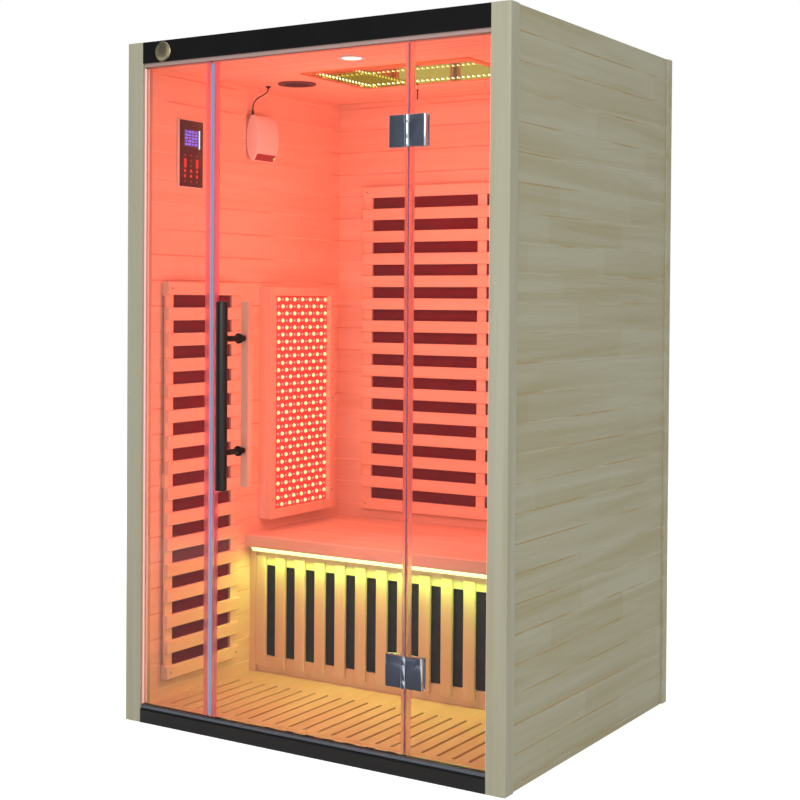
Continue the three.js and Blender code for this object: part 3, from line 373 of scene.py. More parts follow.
# Painted red light: the vent's reddish brown stands in for the cabin's red light on a plainer dark
# plastic.
vent_plastic_painted_red_light = speckled("vent_plastic_painted_red_light", tint(80, 32, 29), 0.5, 800.0, 0.0001)
white_plastic = speckled("white_plastic", tint(244, 238, 234), 0.35, 900.0, 0.00008, spread=0.03)
black_rubber = speckled("black_rubber", tint(40, 34, 34), 0.7, 1200.0, 0.0002)
badge_metal = brushed("badge_metal", tint(198, 184, 146), 0.3, (300, 8, 300))
# Painted light: the mirror's yellow tint stands in for the yellow-green light of the beads that it
# reflects.
mirror_painted_bead_light = brushed("mirror_painted_bead_light", tint(216, 196, 112), 0.02, (3, 3, 3))
glass = clear_glass()
seal = clear_plastic("clear_lip", 0.35, tint(255, 210, 228))
hinge_strip = clear_plastic("clear_strip", 0.6, tint(255, 226, 230))
edge_grey = speckled("edge_grey", tint(176, 136, 170), 0.5, 900.0, 0.0001, shine=0.2)
# Painted light: the magnet cores are no lamps, and their pale blue glow is painted.
magnet = glowing("magnet_core_painted_glow", tint(150, 214, 236), tint(138, 188, 210), 0.45)
# Painted light: the glazing beads are no lamps, and their pink glow paints the cabin's red light
# shining through the silicone.
glazing = glowing("glazing_painted_red_glow", tint(250, 226, 222), tint(255, 150, 138), 0.4)
lamp_glow = glowing("lamp_glow", tint(255, 250, 240), tint(255, 246, 232), 2.4)
strip_glow = glowing("strip_glow", tint(220, 244, 170), tint(226, 255, 160), 2.4)
bead_glow = glowing("bead_glow", tint(240, 255, 226), tint(240, 255, 222), 2.2)
amber_led = glowing("amber_led", tint(255, 240, 190), tint(255, 226, 150), 1.25)
pink_led = glowing("pink_led", tint(255, 170, 180), tint(255, 130, 150), 0.8)
screen_glow = glowing("screen_glow", tint(90, 96, 220), tint(104, 120, 250), 1.0)
screen_back = glowing("screen_back", tint(74, 30, 60), tint(110, 46, 110), 0.6)
bar_glow = glowing("bar_glow", tint(150, 235, 255), tint(150, 235, 255), 1.2)
key_glow = glowing("key_glow", tint(120, 16, 10), tint(228, 34, 18), 0.9)
dim_key = glowing("dim_key", tint(110, 24, 20), tint(130, 24, 18), 0.5)
green_glow = glowing("green_glow", tint(20, 90, 40), tint(80, 255, 110), 1.2)
print("other finishes made")

# %% [markdown]
# ## Dressing the solids
# Most solids already have the right shape, so they only take a material. Sawn wood never has a
# knife edge: a Weld modifier joins the loose triangles and a Bevel modifier eases the sharp
# edges, which gives each board the thin highlight that the eye expects.

# %% Dressing the solids
WELD_DISTANCE = 0.00002


def ease_edges(node, width):
    """Modifiers that round the edges of a board."""
    solid = nodes[node]
    solid.modifiers.new("weld", "WELD").merge_threshold = WELD_DISTANCE
    easing = solid.modifiers.new("eased edges", "BEVEL")
    easing.width = width
    easing.segments = 2
    easing.limit_method = "ANGLE"
    easing.angle_limit = math.radians(30)


def dress(node, material):
    """Gives a solid its material and no other."""
    nodes[node].data.materials.clear()
    nodes[node].data.materials.append(material)


for node, material in wood_of.items():
    dress(node, material)
for node in ("front_left_post", "front_right_post", "header_beam", "bench_nose", "therapy_frame",
             "inner_handle", "back_guard", "left_guard", "right_guard", "calf_guard",
             "left_bench_support", "right_bench_support"):
    ease_edges(node, 0.8 * MM)
for node in ("floor_grille", "bench_top"):
    ease_edges(node, 0.6 * MM)

plain_finishes = {
    "header_fascia": black_gloss,
    "sill": black_gloss,
    "glass_channel": channel_metal,
    "power_unit": grey_metal,
    "left_pane": glass,
    "right_pane": glass,
    "door_glass": glass,
    "left_pane_seal": seal,
    "door_seal": seal,
    "bench_light": aluminium,
    "left_heater": carbon_painted_red_glow,
    "right_heater": carbon_painted_red_glow,
    "back_heater_left": carbon_painted_red_glow,
    "back_heater_right": carbon_painted_red_glow,
    "calf_heater": carbon,
    "therapy_panel": led_board,
    "mirror_light": mirror_painted_bead_light,
}
for node, material in plain_finishes.items():
    dress(node, material)
print("dressed in place:", len(wood_of) + len(plain_finishes))

# %% [markdown]
# ## Smooth copies
# Turned and moulded pieces are faceted in the solids. A copy of such a solid is merged, its sharp
# edges are bevelled if an easing is given, and its round faces are shaded smooth. The copy then
# stands for the solid.

# %% Smooth copies
HARDWARE_EASING = 0.4 * MM
SMOOTH_BELOW = math.radians(32)


def add_piece(name, mesh, material, body):
    """Finishes a bmesh as an object that rides on a body."""
    bmesh.ops.remove_doubles(mesh, verts=mesh.verts, dist=0.000002)
    bmesh.ops.recalc_face_normals(mesh, faces=mesh.faces)
    data = bpy.data.meshes.new(name)
    mesh.to_mesh(data)
    mesh.free()
    data.materials.append(material)
    data.shade_smooth()
    data.set_sharp_from_angle(angle=SMOOTH_BELOW)
    piece = bpy.data.objects.new(name, data)
    scene.collection.objects.link(piece)
    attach(piece, body)
    print(name, "has", len(data.polygons), "faces")
    return piece


def sharp_edges(mesh, degrees=40):
    """The edges at which two faces meet at more than an angle."""
    return [edge for edge in mesh.edges if edge.calc_face_angle(0) > math.radians(degrees)]


def smooth_copy(node, name, material, body, easing=0.0):
    """A merged and eased copy of a solid, which it replaces."""
    mesh = bmesh.new()
    mesh.from_mesh(nodes[node].data)
    bmesh.ops.remove_doubles(mesh, verts=mesh.verts, dist=WELD_DISTANCE)
    bmesh.ops.dissolve_limit(mesh, angle_limit=math.radians(1), verts=mesh.verts,
                             edges=mesh.edges)
    if easing:
        bmesh.ops.bevel(mesh, geom=sharp_edges(mesh), offset=easing, offset_type="OFFSET",
                        affect="EDGES", segments=2, profile=0.5, material=-1, clamp_overlap=True)
    piece = add_piece(name, mesh, material, body)
    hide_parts(node)
    return piece


for level in ("upper", "lower"):
    for part, body in (("door_leaf", "door"), ("door_clamp", "door"), ("fixed_leaf", "cabin"),
                       ("fixed_clamp", "cabin"), ("pin", "cabin")):
        node = f"{level}_hinge_{part}"
        smooth_copy(node, node + "_polished", chrome, body, HARDWARE_EASING)
    smooth_copy(f"{level}_handle_standoff", f"{level}_standoff_turned", black_steel, "door",
                HARDWARE_EASING)
smooth_copy("vent_grille", "vent_moulding", vent_plastic_painted_red_light, "cabin")
smooth_copy("downlight", "downlight_bezel", white_plastic, "cabin")
smooth_copy("lead_gland", "gland_moulding", black_rubber, "cabin", easing=0.5 * MM)
smooth_copy("temperature_probe", "probe_moulding", black_rubber, "cabin")
smooth_copy("control_panel", "control_case", white_plastic, "cabin",
            easing=0.8 * MM)

# %% [markdown]
# ## The ionizer's lead
# A short lead leaves the ionizer's boot and goes into a gland in the ceiling. A Bezier curve
# through the chosen points with a round bevel is the plainest way to make a cord, and it can be
# measured.

# %% The ionizer's lead
LEAD_DIAMETER = 4 * MM
lead_route = [
    (-0.5377, -0.025, 1.7683), (-0.5376, -0.025, 1.773), (-0.5372, -0.0249, 1.778),
    (-0.5363, -0.0245, 1.783), (-0.5347, -0.0237, 1.788), (-0.5323, -0.0225, 1.793),
    (-0.5292, -0.0208, 1.7976), (-0.5254, -0.0186, 1.8018), (-0.521, -0.016, 1.8055),
    (-0.5163, -0.013, 1.8088), (-0.5115, -0.0098, 1.812), (-0.507, -0.0066, 1.8154),
    (-0.5032, -0.0038, 1.8193), (-0.5003, -0.0017, 1.8236), (-0.4986, -0.0005, 1.8283),
    (-0.498, 0.0, 1.8331),
]
lead_data = bpy.data.curves.new("ionizer_flex", "CURVE")
lead_data.dimensions = "3D"
lead_data.bevel_depth = LEAD_DIAMETER / 2
lead_data.bevel_resolution = 4
lead_data.use_fill_caps = True
lead_line = lead_data.splines.new("BEZIER")
lead_line.bezier_points.add(len(lead_route) - 1)
for knot, place in zip(lead_line.bezier_points, lead_route):
    knot.co = place
    knot.handle_left_type = "AUTO"
    knot.handle_right_type = "AUTO"
lead_data.materials.append(black_rubber)
lead = bpy.data.objects.new("ionizer_flex", lead_data)
scene.collection.objects.link(lead)
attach(lead, "cabin")
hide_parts("ionizer_lead")

# %% [markdown]
# ## Shapes for small pieces
# Each small piece starts as one of bmesh's own shapes, moved into place by a matrix, and is then
# bevelled or inset. A frame of reference with its Z axis out of the surface makes the same code
# serve every wall.

# %% Shapes for small pieces


def facing(origin, outward, upward=(0, 0, 1)):
    """A matrix whose Z axis points out of a surface and whose Y axis points up along it."""
    out = Vector(outward).normalized()
    side = Vector(upward).cross(out).normalized()
    up = out.cross(side)
    turn = Matrix((side, up, out)).transposed().to_4x4()
    return Matrix.Translation(origin) @ turn


def add_block(mesh, place, size, rounding=0.0, segments=2):
    """A block that stands on its place, with all its edges rounded."""
    centre = place @ Matrix.Translation((0, 0, size[2] / 2))
    made = bmesh.ops.create_cube(mesh, size=1.0, matrix=centre @ Matrix.Diagonal((*size, 1)))
    if rounding:
        edges = list({edge for vert in made["verts"] for edge in vert.link_edges})
        bmesh.ops.bevel(mesh, geom=edges, offset=rounding, offset_type="OFFSET", affect="EDGES",
                        segments=segments, profile=0.5, material=-1)


def add_stud(mesh, place, radius, top_radius, height, segments):
    """A round stud that stands on its place and narrows to its top."""
    centre = place @ Matrix.Translation((0, 0, height / 2))
    return bmesh.ops.create_cone(mesh, cap_ends=True, segments=segments, radius1=radius,
                                 radius2=top_radius, depth=height, matrix=centre)


def add_turned(mesh, place, profile, steps):
    """Spins (radius, height) points about the place's Z axis."""
    verts = [mesh.verts.new(place @ Vector((radius, 0, height)))
             for radius, height in profile]
    edges = [mesh.edges.new(pair) for pair in zip(verts, verts[1:])]
    bmesh.ops.spin(mesh, geom=verts + edges, cent=place.translation,
                   axis=place.col[2].to_3d(), angle=math.tau, steps=steps, use_merge=True,
                   dvec=(0, 0, 0))


def add_screw(mesh, place, radius):
    """A low round head with a recess: a small inset that is sunk into its face."""
    made = add_stud(mesh, place, radius, radius * 0.8, radius * 0.24, 12)
    outward = place.col[2].to_3d()
    faces = list({face for vert in made["verts"] for face in vert.link_faces})
    for face in faces:
        face.normal_update()
    top = [face for face in faces if face.normal.dot(outward) > 0.9]
    bmesh.ops.inset_region(mesh, faces=top, thickness=radius * 0.45, depth=0.0)
    bmesh.ops.translate(mesh, verts=list(top[0].verts), vec=-outward * radius * 0.2)


# %% [markdown]
# ## Door handle
# The outside pull is a black steel bar with softly rounded ends. Spinning its half profile gives
# a rounder bar than the faceted solid.

# %% Door handle
END_ROUND = 4 * MM
END_STEPS = 4
bar_low, bar_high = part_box("outer_handle")
bar_radius = (bar_high.x - bar_low.x) / 2
bar_middle = (bar_low + bar_high) / 2
bar_foot = Matrix.Translation((bar_middle.x, bar_middle.y, bar_low.z))
bar_length = bar_high.z - bar_low.z
mesh = bmesh.new()
profile = [(0, 0), (bar_radius - END_ROUND, 0)]
for turn in range(1, END_STEPS + 1):
    angle = math.radians(90 / END_STEPS * turn)
    profile.append((bar_radius - END_ROUND * (1 - math.sin(angle)),
                    END_ROUND * (1 - math.cos(angle))))
profile += [(radius, bar_length - height) for radius, height in reversed(profile)]
add_turned(mesh, bar_foot, profile, 40)
handle = add_piece("outer_pull_bar", mesh, black_steel, "door")
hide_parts("outer_handle")

# %% [markdown]
# ## Red-light panel
# The board holds two kinds of LED in staggered rows: wide amber lenses and narrow pink ones
# between them. A lens is a ten-sided stud that narrows to its top, which is enough for a piece
# repeated this often.

# %% Red-light panel
LED_ROWS = 30
LED_COLUMNS = 14
LENS_SIDES = 10
LENS_SIZES = {  # radius, radius at the top, height
    "amber": (6.5 * MM, 4.3 * MM, 4.2 * MM),
    "pink": (4.2 * MM, 2.8 * MM, 2.6 * MM),
}
board_low, board_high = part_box("therapy_panel")
row_pitch = (board_high.z - board_low.z) / LED_ROWS
column_pitch = (board_high.y - board_low.y) / LED_COLUMNS
lenses = {"amber": bmesh.new(), "pink": bmesh.new()}
for row in range(LED_ROWS):
    for column in range(LED_COLUMNS):
        kind = "amber" if (row + column) % 2 == 0 else "pink"
        centre = Vector((board_high.x, board_low.y + (column + 0.5) * column_pitch,
                         board_low.z + (row + 0.5) * row_pitch))
        add_stud(lenses[kind], facing(centre, (1, 0, 0)), *LENS_SIZES[kind], LENS_SIDES)
add_piece("amber_lenses", lenses["amber"], amber_led, "cabin")
add_piece("pink_lenses", lenses["pink"], pink_led, "cabin")

# %% [markdown]
# ## Control panel
# A dark glass face lies in a pale case. It has a screen, whose blue figures are plain bars, a
# light bar beside it, and touch keys that glow red: two tall rockers at the sides and round keys
# below them. Dimmer keys fill the rows between and at the foot.

# %% Control panel
FACE_SIDE_MARGIN, FACE_END_MARGIN = 5 * MM, 4 * MM
FACE_LIFT = 1.2 * MM  # the dark face stands this far out of the case
SCREEN_LIFT = 0.4 * MM
KEY_LIFT = 0.6 * MM
FIGURE_ROWS, FIGURE_COLUMNS = 5, 4
KEY_COLUMNS = (-27, 0, 27)  # in millimetres from the middle, like all places on the face
KEY_ROWS = (-50, -65)
SMALL_KEYS = [(across, up) for up in (-80, -5) for across in KEY_COLUMNS] + [(0, -20), (0, -35)]
case_low, case_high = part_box("control_panel")
face_middle = (case_low + case_high) / 2
face_middle.x = case_high.x
face_width = case_high.y - case_low.y
face_height = case_high.z - case_low.z


def on_face(across, up, lift=0.0):
    """A place on the control panel's face, in millimetres from its middle."""
    return facing(face_middle + Vector((lift, across * MM, up * MM)), (1, 0, 0))


mesh = bmesh.new()
face_size = (face_width - FACE_SIDE_MARGIN, face_height - FACE_END_MARGIN, FACE_LIFT)
add_block(mesh, on_face(1.5, 0), face_size, 0.5 * MM)
add_piece("control_face", mesh, dark_plastic, "cabin")

mesh = bmesh.new()
add_block(mesh, on_face(0, 45, FACE_LIFT), (66 * MM, 50 * MM, SCREEN_LIFT), 0.15 * MM)
add_piece("control_screen", mesh, screen_back, "cabin")

mesh = bmesh.new()
for row in range(FIGURE_ROWS):
    for column in range(FIGURE_COLUMNS):
        width = 12 if (row + column) % 3 else 6
        place = on_face(-22 + column * 14.5, 63 - row * 9, FACE_LIFT + SCREEN_LIFT)
        add_block(mesh, place, (width * MM, 5.4 * MM, 0.2 * MM))
add_piece("control_figures", mesh, screen_glow, "cabin")

mesh = bmesh.new()
add_block(mesh, on_face(37, 43, FACE_LIFT), (5 * MM, 54 * MM, 0.5 * MM), 0.2 * MM)
add_piece("control_light_bar", mesh, bar_glow, "cabin")

mesh = bmesh.new()
for across in (KEY_COLUMNS[0], KEY_COLUMNS[-1]):
    add_block(mesh, on_face(across, -28, FACE_LIFT), (11 * MM, 26 * MM, KEY_LIFT), 0.28 * MM)
for up in KEY_ROWS:
    for across in KEY_COLUMNS:
        add_stud(mesh, on_face(across, up, FACE_LIFT), 5.2 * MM, 4.7 * MM, KEY_LIFT, 20)
add_piece("control_keys", mesh, key_glow, "cabin")

mesh = bmesh.new()
for across, up in SMALL_KEYS:
    add_stud(mesh, on_face(across, up, FACE_LIFT), 3.8 * MM, 3.4 * MM, KEY_LIFT, 16)
add_piece("control_small_keys", mesh, dim_key, "cabin")

# %% [markdown]
# ## Ionizer
# The case is an oval drum that lies along the wall. Its section is most of an ellipse, closed by
# a sloping flat for the outlet. The flat holds a dark grille with a small green pilot lamp, and a
# rubber boot stands on top, where the lead begins.

# %% Ionizer
DRUM_HALF_HEIGHT = 70 * MM
DRUM_STEPS = 56
DRUM_ROUNDING = 3 * MM
FLAT_FROM, FLAT_TO = math.radians(-85), math.radians(-42)
OUTLET_SIZE = (96 * MM, 23 * MM, 1.9 * MM)
OUTLET_SUNK = 1.5 * MM
RIB_COUNT = 9
RIB_PITCH = 9.6 * MM
RIB_SIZE = (2.2 * MM, 20 * MM, 1.0 * MM)
BOOT_FOOT_Z = 1742 * MM
BOOT_PLACE = (-537.7 * MM, -25 * MM)
BOOT_GAP = 0.3 * MM  # below the lead's end
ion_low, ion_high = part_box("ionizer")
drum_half = Vector(((ion_high.x - ion_low.x) / 2, 0, DRUM_HALF_HEIGHT))
drum_middle = (ion_low + ion_high) / 2
drum_middle.z = ion_low.z + DRUM_HALF_HEIGHT


def on_oval(angle):
    """A point of the drum's section."""
    offset = Vector((drum_half.x * math.cos(angle), 0, drum_half.z * math.sin(angle)))
    return drum_middle + offset


mesh = bmesh.new()
sweep = FLAT_FROM + math.tau - FLAT_TO
section = [on_oval(FLAT_TO + sweep * step / DRUM_STEPS) for step in range(DRUM_STEPS + 1)]
near_verts = [mesh.verts.new((point.x, ion_low.y, point.z)) for point in section]
near_end = mesh.faces.new(near_verts)
grown = bmesh.ops.extrude_face_region(mesh, geom=[near_end])["geom"]
far_verts = [part for part in grown if isinstance(part, bmesh.types.BMVert)]
bmesh.ops.translate(mesh, verts=far_verts, vec=(0, ion_high.y - ion_low.y, 0))
bmesh.ops.recalc_face_normals(mesh, faces=mesh.faces)
bmesh.ops.bevel(mesh, geom=sharp_edges(mesh, 60), offset=DRUM_ROUNDING, offset_type="OFFSET",
                affect="EDGES", segments=3, profile=0.5, material=-1, clamp_overlap=True)
case = add_piece("ionizer_case", mesh, white_plastic, "cabin")
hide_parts("ionizer")

flat_low, flat_high = on_oval(FLAT_FROM), on_oval(FLAT_TO)
slope = (flat_high - flat_low).normalized()
outlet_out = Vector((slope.z, 0, -slope.x))
outlet_place = facing((flat_low + flat_high) / 2 - outlet_out * OUTLET_SUNK, outlet_out)
mesh = bmesh.new()
add_block(mesh, outlet_place, OUTLET_SIZE, 0.6 * MM)
for index in range(RIB_COUNT):
    along = (index - RIB_COUNT // 2) * RIB_PITCH
    rib = outlet_place @ Matrix.Translation((along, 0, 1.6 * MM))
    add_block(mesh, rib, RIB_SIZE, 0.3 * MM)
add_piece("ionizer_outlet", mesh, outlet_plastic, "cabin")

mesh = bmesh.new()
pilot_place = outlet_place @ Matrix.Translation((43 * MM, 0, 1.8 * MM))
add_stud(mesh, pilot_place, 3.4 * MM, 2.2 * MM, 1.8 * MM, 16)
add_piece("ionizer_pilot_lamp", mesh, green_glow, "cabin")

mesh = bmesh.new()
boot_place = Matrix.Translation((*BOOT_PLACE, BOOT_FOOT_Z))
boot_height = lead_route[0][2] - BOOT_GAP - BOOT_FOOT_Z
boot_profile = [(0, 0), (5 * MM, 0), (4.6 * MM, 5 * MM), (3 * MM, boot_height), (0, boot_height)]
add_turned(mesh, boot_place, boot_profile, 24)
add_piece("ionizer_boot", mesh, black_rubber, "cabin")

# %% [markdown]
# ## Ceiling lights
# The downlight is a frosted lens in a white ring. The mirror light is a shallow box: a row of
# beads runs round its edge in front of a mirror, which shows every bead twice.

# %% Ceiling lights
LENS_SUNK = 1.8 * MM
BEAD_PITCH = 17.5 * MM
BEAD_RADIUS = 2.7 * MM
BEAD_INSET = 28 * MM  # from the edge of the box
BEAD_HEIGHT = 8 * MM  # above the mouth of the box
lamp_low, lamp_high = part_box("downlight")
lamp_centre = (lamp_low + lamp_high) / 2
lamp_centre.z = lamp_low.z + LENS_SUNK
mesh = bmesh.new()
lens_profile = [(0, 2.6 * MM), (12 * MM, 2.4 * MM), (21 * MM, 1.6 * MM), (26.6 * MM, 0.2 * MM),
                (26.6 * MM, 0), (0, 0)]
add_turned(mesh, facing(lamp_centre, (0, 0, -1), (0, 1, 0)), lens_profile, 40)
add_piece("downlight_lens", mesh, lamp_glow, "cabin")

tray_low, tray_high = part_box("mirror_light")
bead_z = tray_low.z + BEAD_HEIGHT
row_low = Vector((tray_low.x + BEAD_INSET, tray_low.y + BEAD_INSET, bead_z))
row_high = Vector((tray_high.x - BEAD_INSET, tray_high.y - BEAD_INSET, bead_z))
beads_across = round((row_high.x - row_low.x) / BEAD_PITCH)
beads_deep = round((row_high.y - row_low.y) / BEAD_PITCH)
bead_places = []
for index in range(beads_across + 1):
    x = row_low.x + (row_high.x - row_low.x) * index / beads_across
    bead_places += [(x, row_low.y, bead_z), (x, row_high.y, bead_z)]
for index in range(1, beads_deep):
    y = row_low.y + (row_high.y - row_low.y) * index / beads_deep
    bead_places += [(row_low.x, y, bead_z), (row_high.x, y, bead_z)]
mesh = bmesh.new()
for place in bead_places:
    bmesh.ops.create_icosphere(mesh, subdivisions=1, radius=BEAD_RADIUS,
                               matrix=Matrix.Translation(place))
add_piece("mirror_light_beads", mesh, bead_glow, "cabin")
print("beads:", len(bead_places))

# %% [markdown]
# ## Bench light
# A diffuser clips into the aluminium strip under the bench nose and shines down on the guard and
# floor. Its front edge shows as a thin bright line.

# %% Bench light
DIFFUSER_WIDTH, DIFFUSER_DEPTH = 11 * MM, 3 * MM
FRONT_HEIGHT, FRONT_DEPTH = 6 * MM, 1.5 * MM
strip_low, strip_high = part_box("bench_light")
strip_middle = (strip_low + strip_high) / 2
strip_length = strip_high.x - strip_low.x
mesh = bmesh.new()
below = facing((strip_middle.x, strip_middle.y, strip_low.z), (0, 0, -1), (0, 1, 0))
add_block(mesh, below, (strip_length, DIFFUSER_WIDTH, DIFFUSER_DEPTH), 1.2 * MM, 3)
front = facing((strip_middle.x, strip_low.y, strip_middle.z), (0, -1, 0))
add_block(mesh, front, (strip_length, FRONT_HEIGHT, FRONT_DEPTH), 0.6 * MM)
add_piece("bench_light_diffuser", mesh, strip_glow, "cabin")

# %% [markdown]
# ## Small fittings
# Screws hold the guards and the light panel's frame. A plain round disc sits on the header,
# magnet cores lie in the two strike seals, and a clear strip closes the gap at the hinges, where
# the door's edge has a thin grey strip. Pale glazing beads cover the joints between the fixed
# panes and their posts. The magnet cores and the glazing beads glow, though they are no lamps:
# that glow is painted light, pale blue in the cores and red in the beads.

# %% Small fittings
SCREW_RADIUS = 3.4 * MM
SLAT_MIDDLE = 18.5 * MM  # from a guard's end to the middle of its end slat
RAIL_MIDDLE = 16 * MM  # from a guard's side to the middle of its outer rail
FRAME_SIDE, FRAME_END = 13.5 * MM, 60 * MM  # where screws hold the light panel's frame
DISC_PLACE = (-474 * MM, 1869 * MM)  # across and up
CORE_WIDTH, CORE_DEPTH = 4.2 * MM, 7 * MM
CORE_COVER = 0.6 * MM
GAP_STRIP_WIDTH, GAP_STRIP_DEPTH = 28 * MM, 1.2 * MM
GAP_STRIP_OFFSET = 0.9 * MM  # behind the glass
EDGE_DEPTH = 0.7 * MM
EDGE_OFFSET = 0.4 * MM  # from the door's edge to the middle of its strip
GLAZING_SIZE = 5 * MM
GLAZING_FIT = 0.2 * MM


def add_screws(name, places):
    """Bright screws at some places of the cabin."""
    mesh = bmesh.new()
    for place in places:
        add_screw(mesh, place, SCREW_RADIUS)
    add_piece(name, mesh, aluminium, "cabin")


def guard_screws(node, outward, across_axis):
    """Places of screws, where a guard's end slats cross its outer rails."""
    low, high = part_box(node)
    face = high if sum(outward) > 0 else low
    places = []
    for height in (low.z + SLAT_MIDDLE, high.z - SLAT_MIDDLE):
        for edge in (low[across_axis] + RAIL_MIDDLE, high[across_axis] - RAIL_MIDDLE):
            centre = Vector(face)
            centre[across_axis] = edge
            centre.z = height
            places.append(facing(centre, outward))
    return places


add_screws("left_guard_screws", guard_screws("left_guard", (1, 0, 0), 1))
add_screws("right_guard_screws", guard_screws("right_guard", (-1, 0, 0), 1))
add_screws("back_guard_screws", guard_screws("back_guard", (0, -1, 0), 0))
frame_low, frame_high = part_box("therapy_frame")
frame_heights = (frame_low.z + FRAME_END, (frame_low.z + frame_high.z) / 2,
                 frame_high.z - FRAME_END)
frame_screws = [facing((frame_high.x, y, z), (1, 0, 0))
                for y in (frame_low.y + FRAME_SIDE, frame_high.y - FRAME_SIDE)
                for z in frame_heights]
add_screws("therapy_frame_screws", frame_screws)

fascia_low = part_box("header_fascia")[0]
mesh = bmesh.new()
disc_place = facing((DISC_PLACE[0], fascia_low.y, DISC_PLACE[1]), (0, -1, 0))
disc_profile = [(0, 1.0 * MM), (22 * MM, 1.0 * MM), (23 * MM, 1.6 * MM), (26 * MM, 1.6 * MM),
                (27 * MM, 0.8 * MM), (27 * MM, 0), (0, 0)]
add_turned(mesh, disc_place, disc_profile, 48)
add_piece("header_disc", mesh, badge_metal, "cabin")

for name, node, side, body in (("pane_magnet", "left_pane_seal", -1, "cabin"),
                               ("door_magnet", "door_seal", 1, "door")):
    seal_low, seal_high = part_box(node)
    parting = seal_high.x if side < 0 else seal_low.x
    core_x = parting + side * (CORE_WIDTH / 2 + CORE_COVER)
    core_foot = Matrix.Translation((core_x, (seal_low.y + seal_high.y) / 2, seal_low.z + 2 * MM))
    core_size = (CORE_WIDTH, CORE_DEPTH, seal_high.z - seal_low.z - 4 * MM)
    mesh = bmesh.new()
    add_block(mesh, core_foot, core_size, 0.5 * MM)
    add_piece(name, mesh, magnet, body)

pane_low, pane_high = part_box("right_pane")
door_low, door_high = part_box("door_glass")
door_height = door_high.z - door_low.z
mesh = bmesh.new()
gap_middle = (door_high.x + pane_low.x) / 2
strip_foot = Matrix.Translation((gap_middle, pane_high.y + GAP_STRIP_OFFSET, door_low.z))
add_block(mesh, strip_foot, (GAP_STRIP_WIDTH, GAP_STRIP_DEPTH, door_height), 0.4 * MM)
add_piece("hinge_side_strip", mesh, hinge_strip, "cabin")

mesh = bmesh.new()
glass_middle = (door_low.y + door_high.y) / 2
edge_foot = Matrix.Translation((door_high.x + EDGE_OFFSET, glass_middle, door_low.z + 1 * MM))
edge_size = (EDGE_DEPTH, door_high.y - door_low.y - 0.6 * MM, door_height - 2 * MM)
add_block(mesh, edge_foot, edge_size, 0.15 * MM)
add_piece("door_edge_strip", mesh, edge_grey, "door")

mesh = bmesh.new()
for post, side in (("front_left_post", 1), ("front_right_post", -1)):
    post_low, post_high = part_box(post)
    inner_x = post_high.x if side > 0 else post_low.x
    from_face = GLAZING_SIZE / 2 + GLAZING_FIT
    for y in (pane_low.y - from_face, pane_high.y + from_face):
        place = Matrix.Translation((inner_x + side * from_face, y, door_low.z))
        add_block(mesh, place, (GLAZING_SIZE, GLAZING_SIZE, door_height), 1.2 * MM)
add_piece("glazing_beads", mesh, glazing, "cabin")

# %% [markdown]
# ## Floor, light and background
# The studio is plain: a pale floor, soft area lamps outside, and the cabin's own red and yellow-
# green light inside. A fill lamp just behind the glass brightens what faces the door. The world
# is white only for camera, glossy and transmission rays, so the background is white while the
# cabin is lit at a plain level. A dark card beside the camera, with a mat on the floor before it,
# gives the glass and the polished metal something dark to mirror.

# %% Floor, light and background
WORLD_LEVEL = 0.36  # what the sky gives to the cabin
FLOOR_GLOW = 0.7  # what makes the floor as white as the background
CARD_COLOUR = (0.19, 0.21, 0.25, 1)
WHITE = (1, 1, 1)
RED = (1.0, 0.165, 0.135)
YELLOW_GREEN = (0.45, 1.0, 0.14)
SOFTBOX = (3, 2.4)
CABIN_MIDDLE = (0, 0, 1)


def white_to_the_eye(tree):
    """A factor of 1 for camera, glossy and transmission rays that no matt surface has scattered."""
    path = add_node(tree, "ShaderNodeLightPath").outputs
    seen = math_node(tree, "MAXIMUM", path["Is Camera Ray"], path["Is Glossy Ray"])
    seen = math_node(tree, "MAXIMUM", seen, path["Is Transmission Ray"])
    direct = math_node(tree, "LESS_THAN", path["Diffuse Depth"], 0.5)
    return math_node(tree, "MULTIPLY", seen, direct)


def add_sheet(mesh, half_size, place):
    bmesh.ops.create_grid(mesh, x_segments=1, y_segments=1, size=half_size, matrix=place)


def studio_piece(name, mesh, material):
    """An object of the studio, which isn't part of the cabin."""
    data = bpy.data.meshes.new(name)
    mesh.to_mesh(data)
    mesh.free()
    data.materials.append(material)
    piece = bpy.data.objects.new(name, data)
    scene.collection.objects.link(piece)
    return piece


world = bpy.data.worlds.new("studio")
world.use_nodes = True
tree = world.node_tree
tree.nodes.clear()
levels = [add_node(tree, "ShaderNodeBackground", [("Color", (*WHITE, 1)), ("Strength", level)])
          for level in (WORLD_LEVEL, 1.0)]
links = [(0, white_to_the_eye(tree)), (1, levels[0].outputs[0]), (2, levels[1].outputs[0])]
mix = add_node(tree, "ShaderNodeMixShader", links)
add_node(tree, "ShaderNodeOutputWorld", [("Surface", mix.outputs[0])])
scene.world = world

floor_paint, tree, shader = new_finish("floor_paint", Roughness=0.9, Specular_IOR_Level=0.0)
shader.inputs["Base Color"].default_value = (0.86, 0.86, 0.86, 1)
shader.inputs["Emission Color"].default_value = (*WHITE, 1)
glow = math_node(tree, "MULTIPLY", white_to_the_eye(tree), FLOOR_GLOW)
tree.links.new(glow, shader.inputs["Emission Strength"])
mesh = bmesh.new()
add_sheet(mesh, 40, Matrix.Identity(4))
floor = studio_piece("studio_floor", mesh, floor_paint)

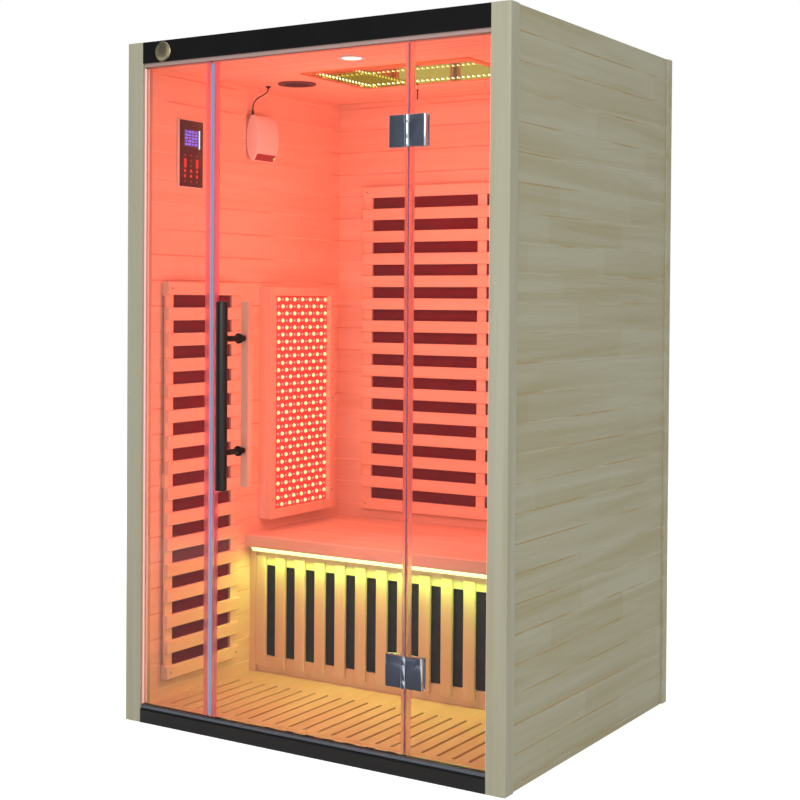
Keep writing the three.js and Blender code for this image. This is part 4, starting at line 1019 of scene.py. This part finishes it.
card_paint, tree, shader = new_finish("card_paint", Roughness=0.9, Specular_IOR_Level=0.0)
shader.inputs["Base Color"].default_value = CARD_COLOUR
mesh = bmesh.new()
add_sheet(mesh, 2.4, facing((-2.0, -3.5, 1.4), (2.0, 3.0, 0)))
add_sheet(mesh, 1.45, Matrix.Translation((-0.6, -2.1, 0.004)))
card = studio_piece("dark_card", mesh, card_paint)
for ray in ("camera", "diffuse", "transmission", "shadow"):
    setattr(card, "visible_" + ray, False)


def lamp(name, kind, place, power, colour, size, aim=None):
    """A lamp that the camera doesn't see, neither directly nor through glass."""
    data = bpy.data.lights.new(name, kind)
    data.energy = power
    data.color = colour
    if kind == "AREA":
        data.shape = "RECTANGLE"
        data.size, data.size_y = size
    else:
        data.shadow_soft_size = size
    light = bpy.data.objects.new(name, data)
    light.location = place
    if aim:
        direction = Vector(aim) - Vector(place)
        light.rotation_euler = direction.to_track_quat("-Z", "Y").to_euler()
    light.visible_camera = False
    light.visible_glossy = kind == "AREA"
    light.visible_transmission = False
    scene.collection.objects.link(light)
    return light


lamp("front_softbox", "AREA", (1.7, -4.0, 2.5), 78, WHITE, SOFTBOX, CABIN_MIDDLE)
lamp("side_softbox", "AREA", (4.5, 0.5, 2.6), 2, WHITE, SOFTBOX, CABIN_MIDDLE)
lamp("top_softbox", "AREA", (0, 0, 4.5), 30, WHITE, (3, 3), (0, 0, 0))
lamp("back_softbox", "AREA", (-3.0, 4.0, 2.6), 60, WHITE, SOFTBOX, CABIN_MIDDLE)
lamp("red_upper", "POINT", (0.0, -0.05, 1.45), 9.5, RED, 0.12)
lamp("red_lower", "POINT", (-0.05, -0.2, 0.8), 8.5, RED, 0.12)
fill_place = Vector((-0.28, pane_high.y + 6 * MM, 0.95))
fill_aim = fill_place + Vector((0, 1, 0))
front_fill = lamp("front_fill", "AREA", fill_place, 1.2, RED, (0.56, 1.6), fill_aim)
front_fill.visible_glossy = False
strip_lamp_place = (0, strip_middle.y - 12 * MM, strip_low.z - 10 * MM)
strip_aim = (0, strip_middle.y - 0.12, 0.1)
lamp("strip_light", "AREA", strip_lamp_place, 1.6, YELLOW_GREEN, (1.0, 0.02), strip_aim)
print("lamps:", len(bpy.data.lights))
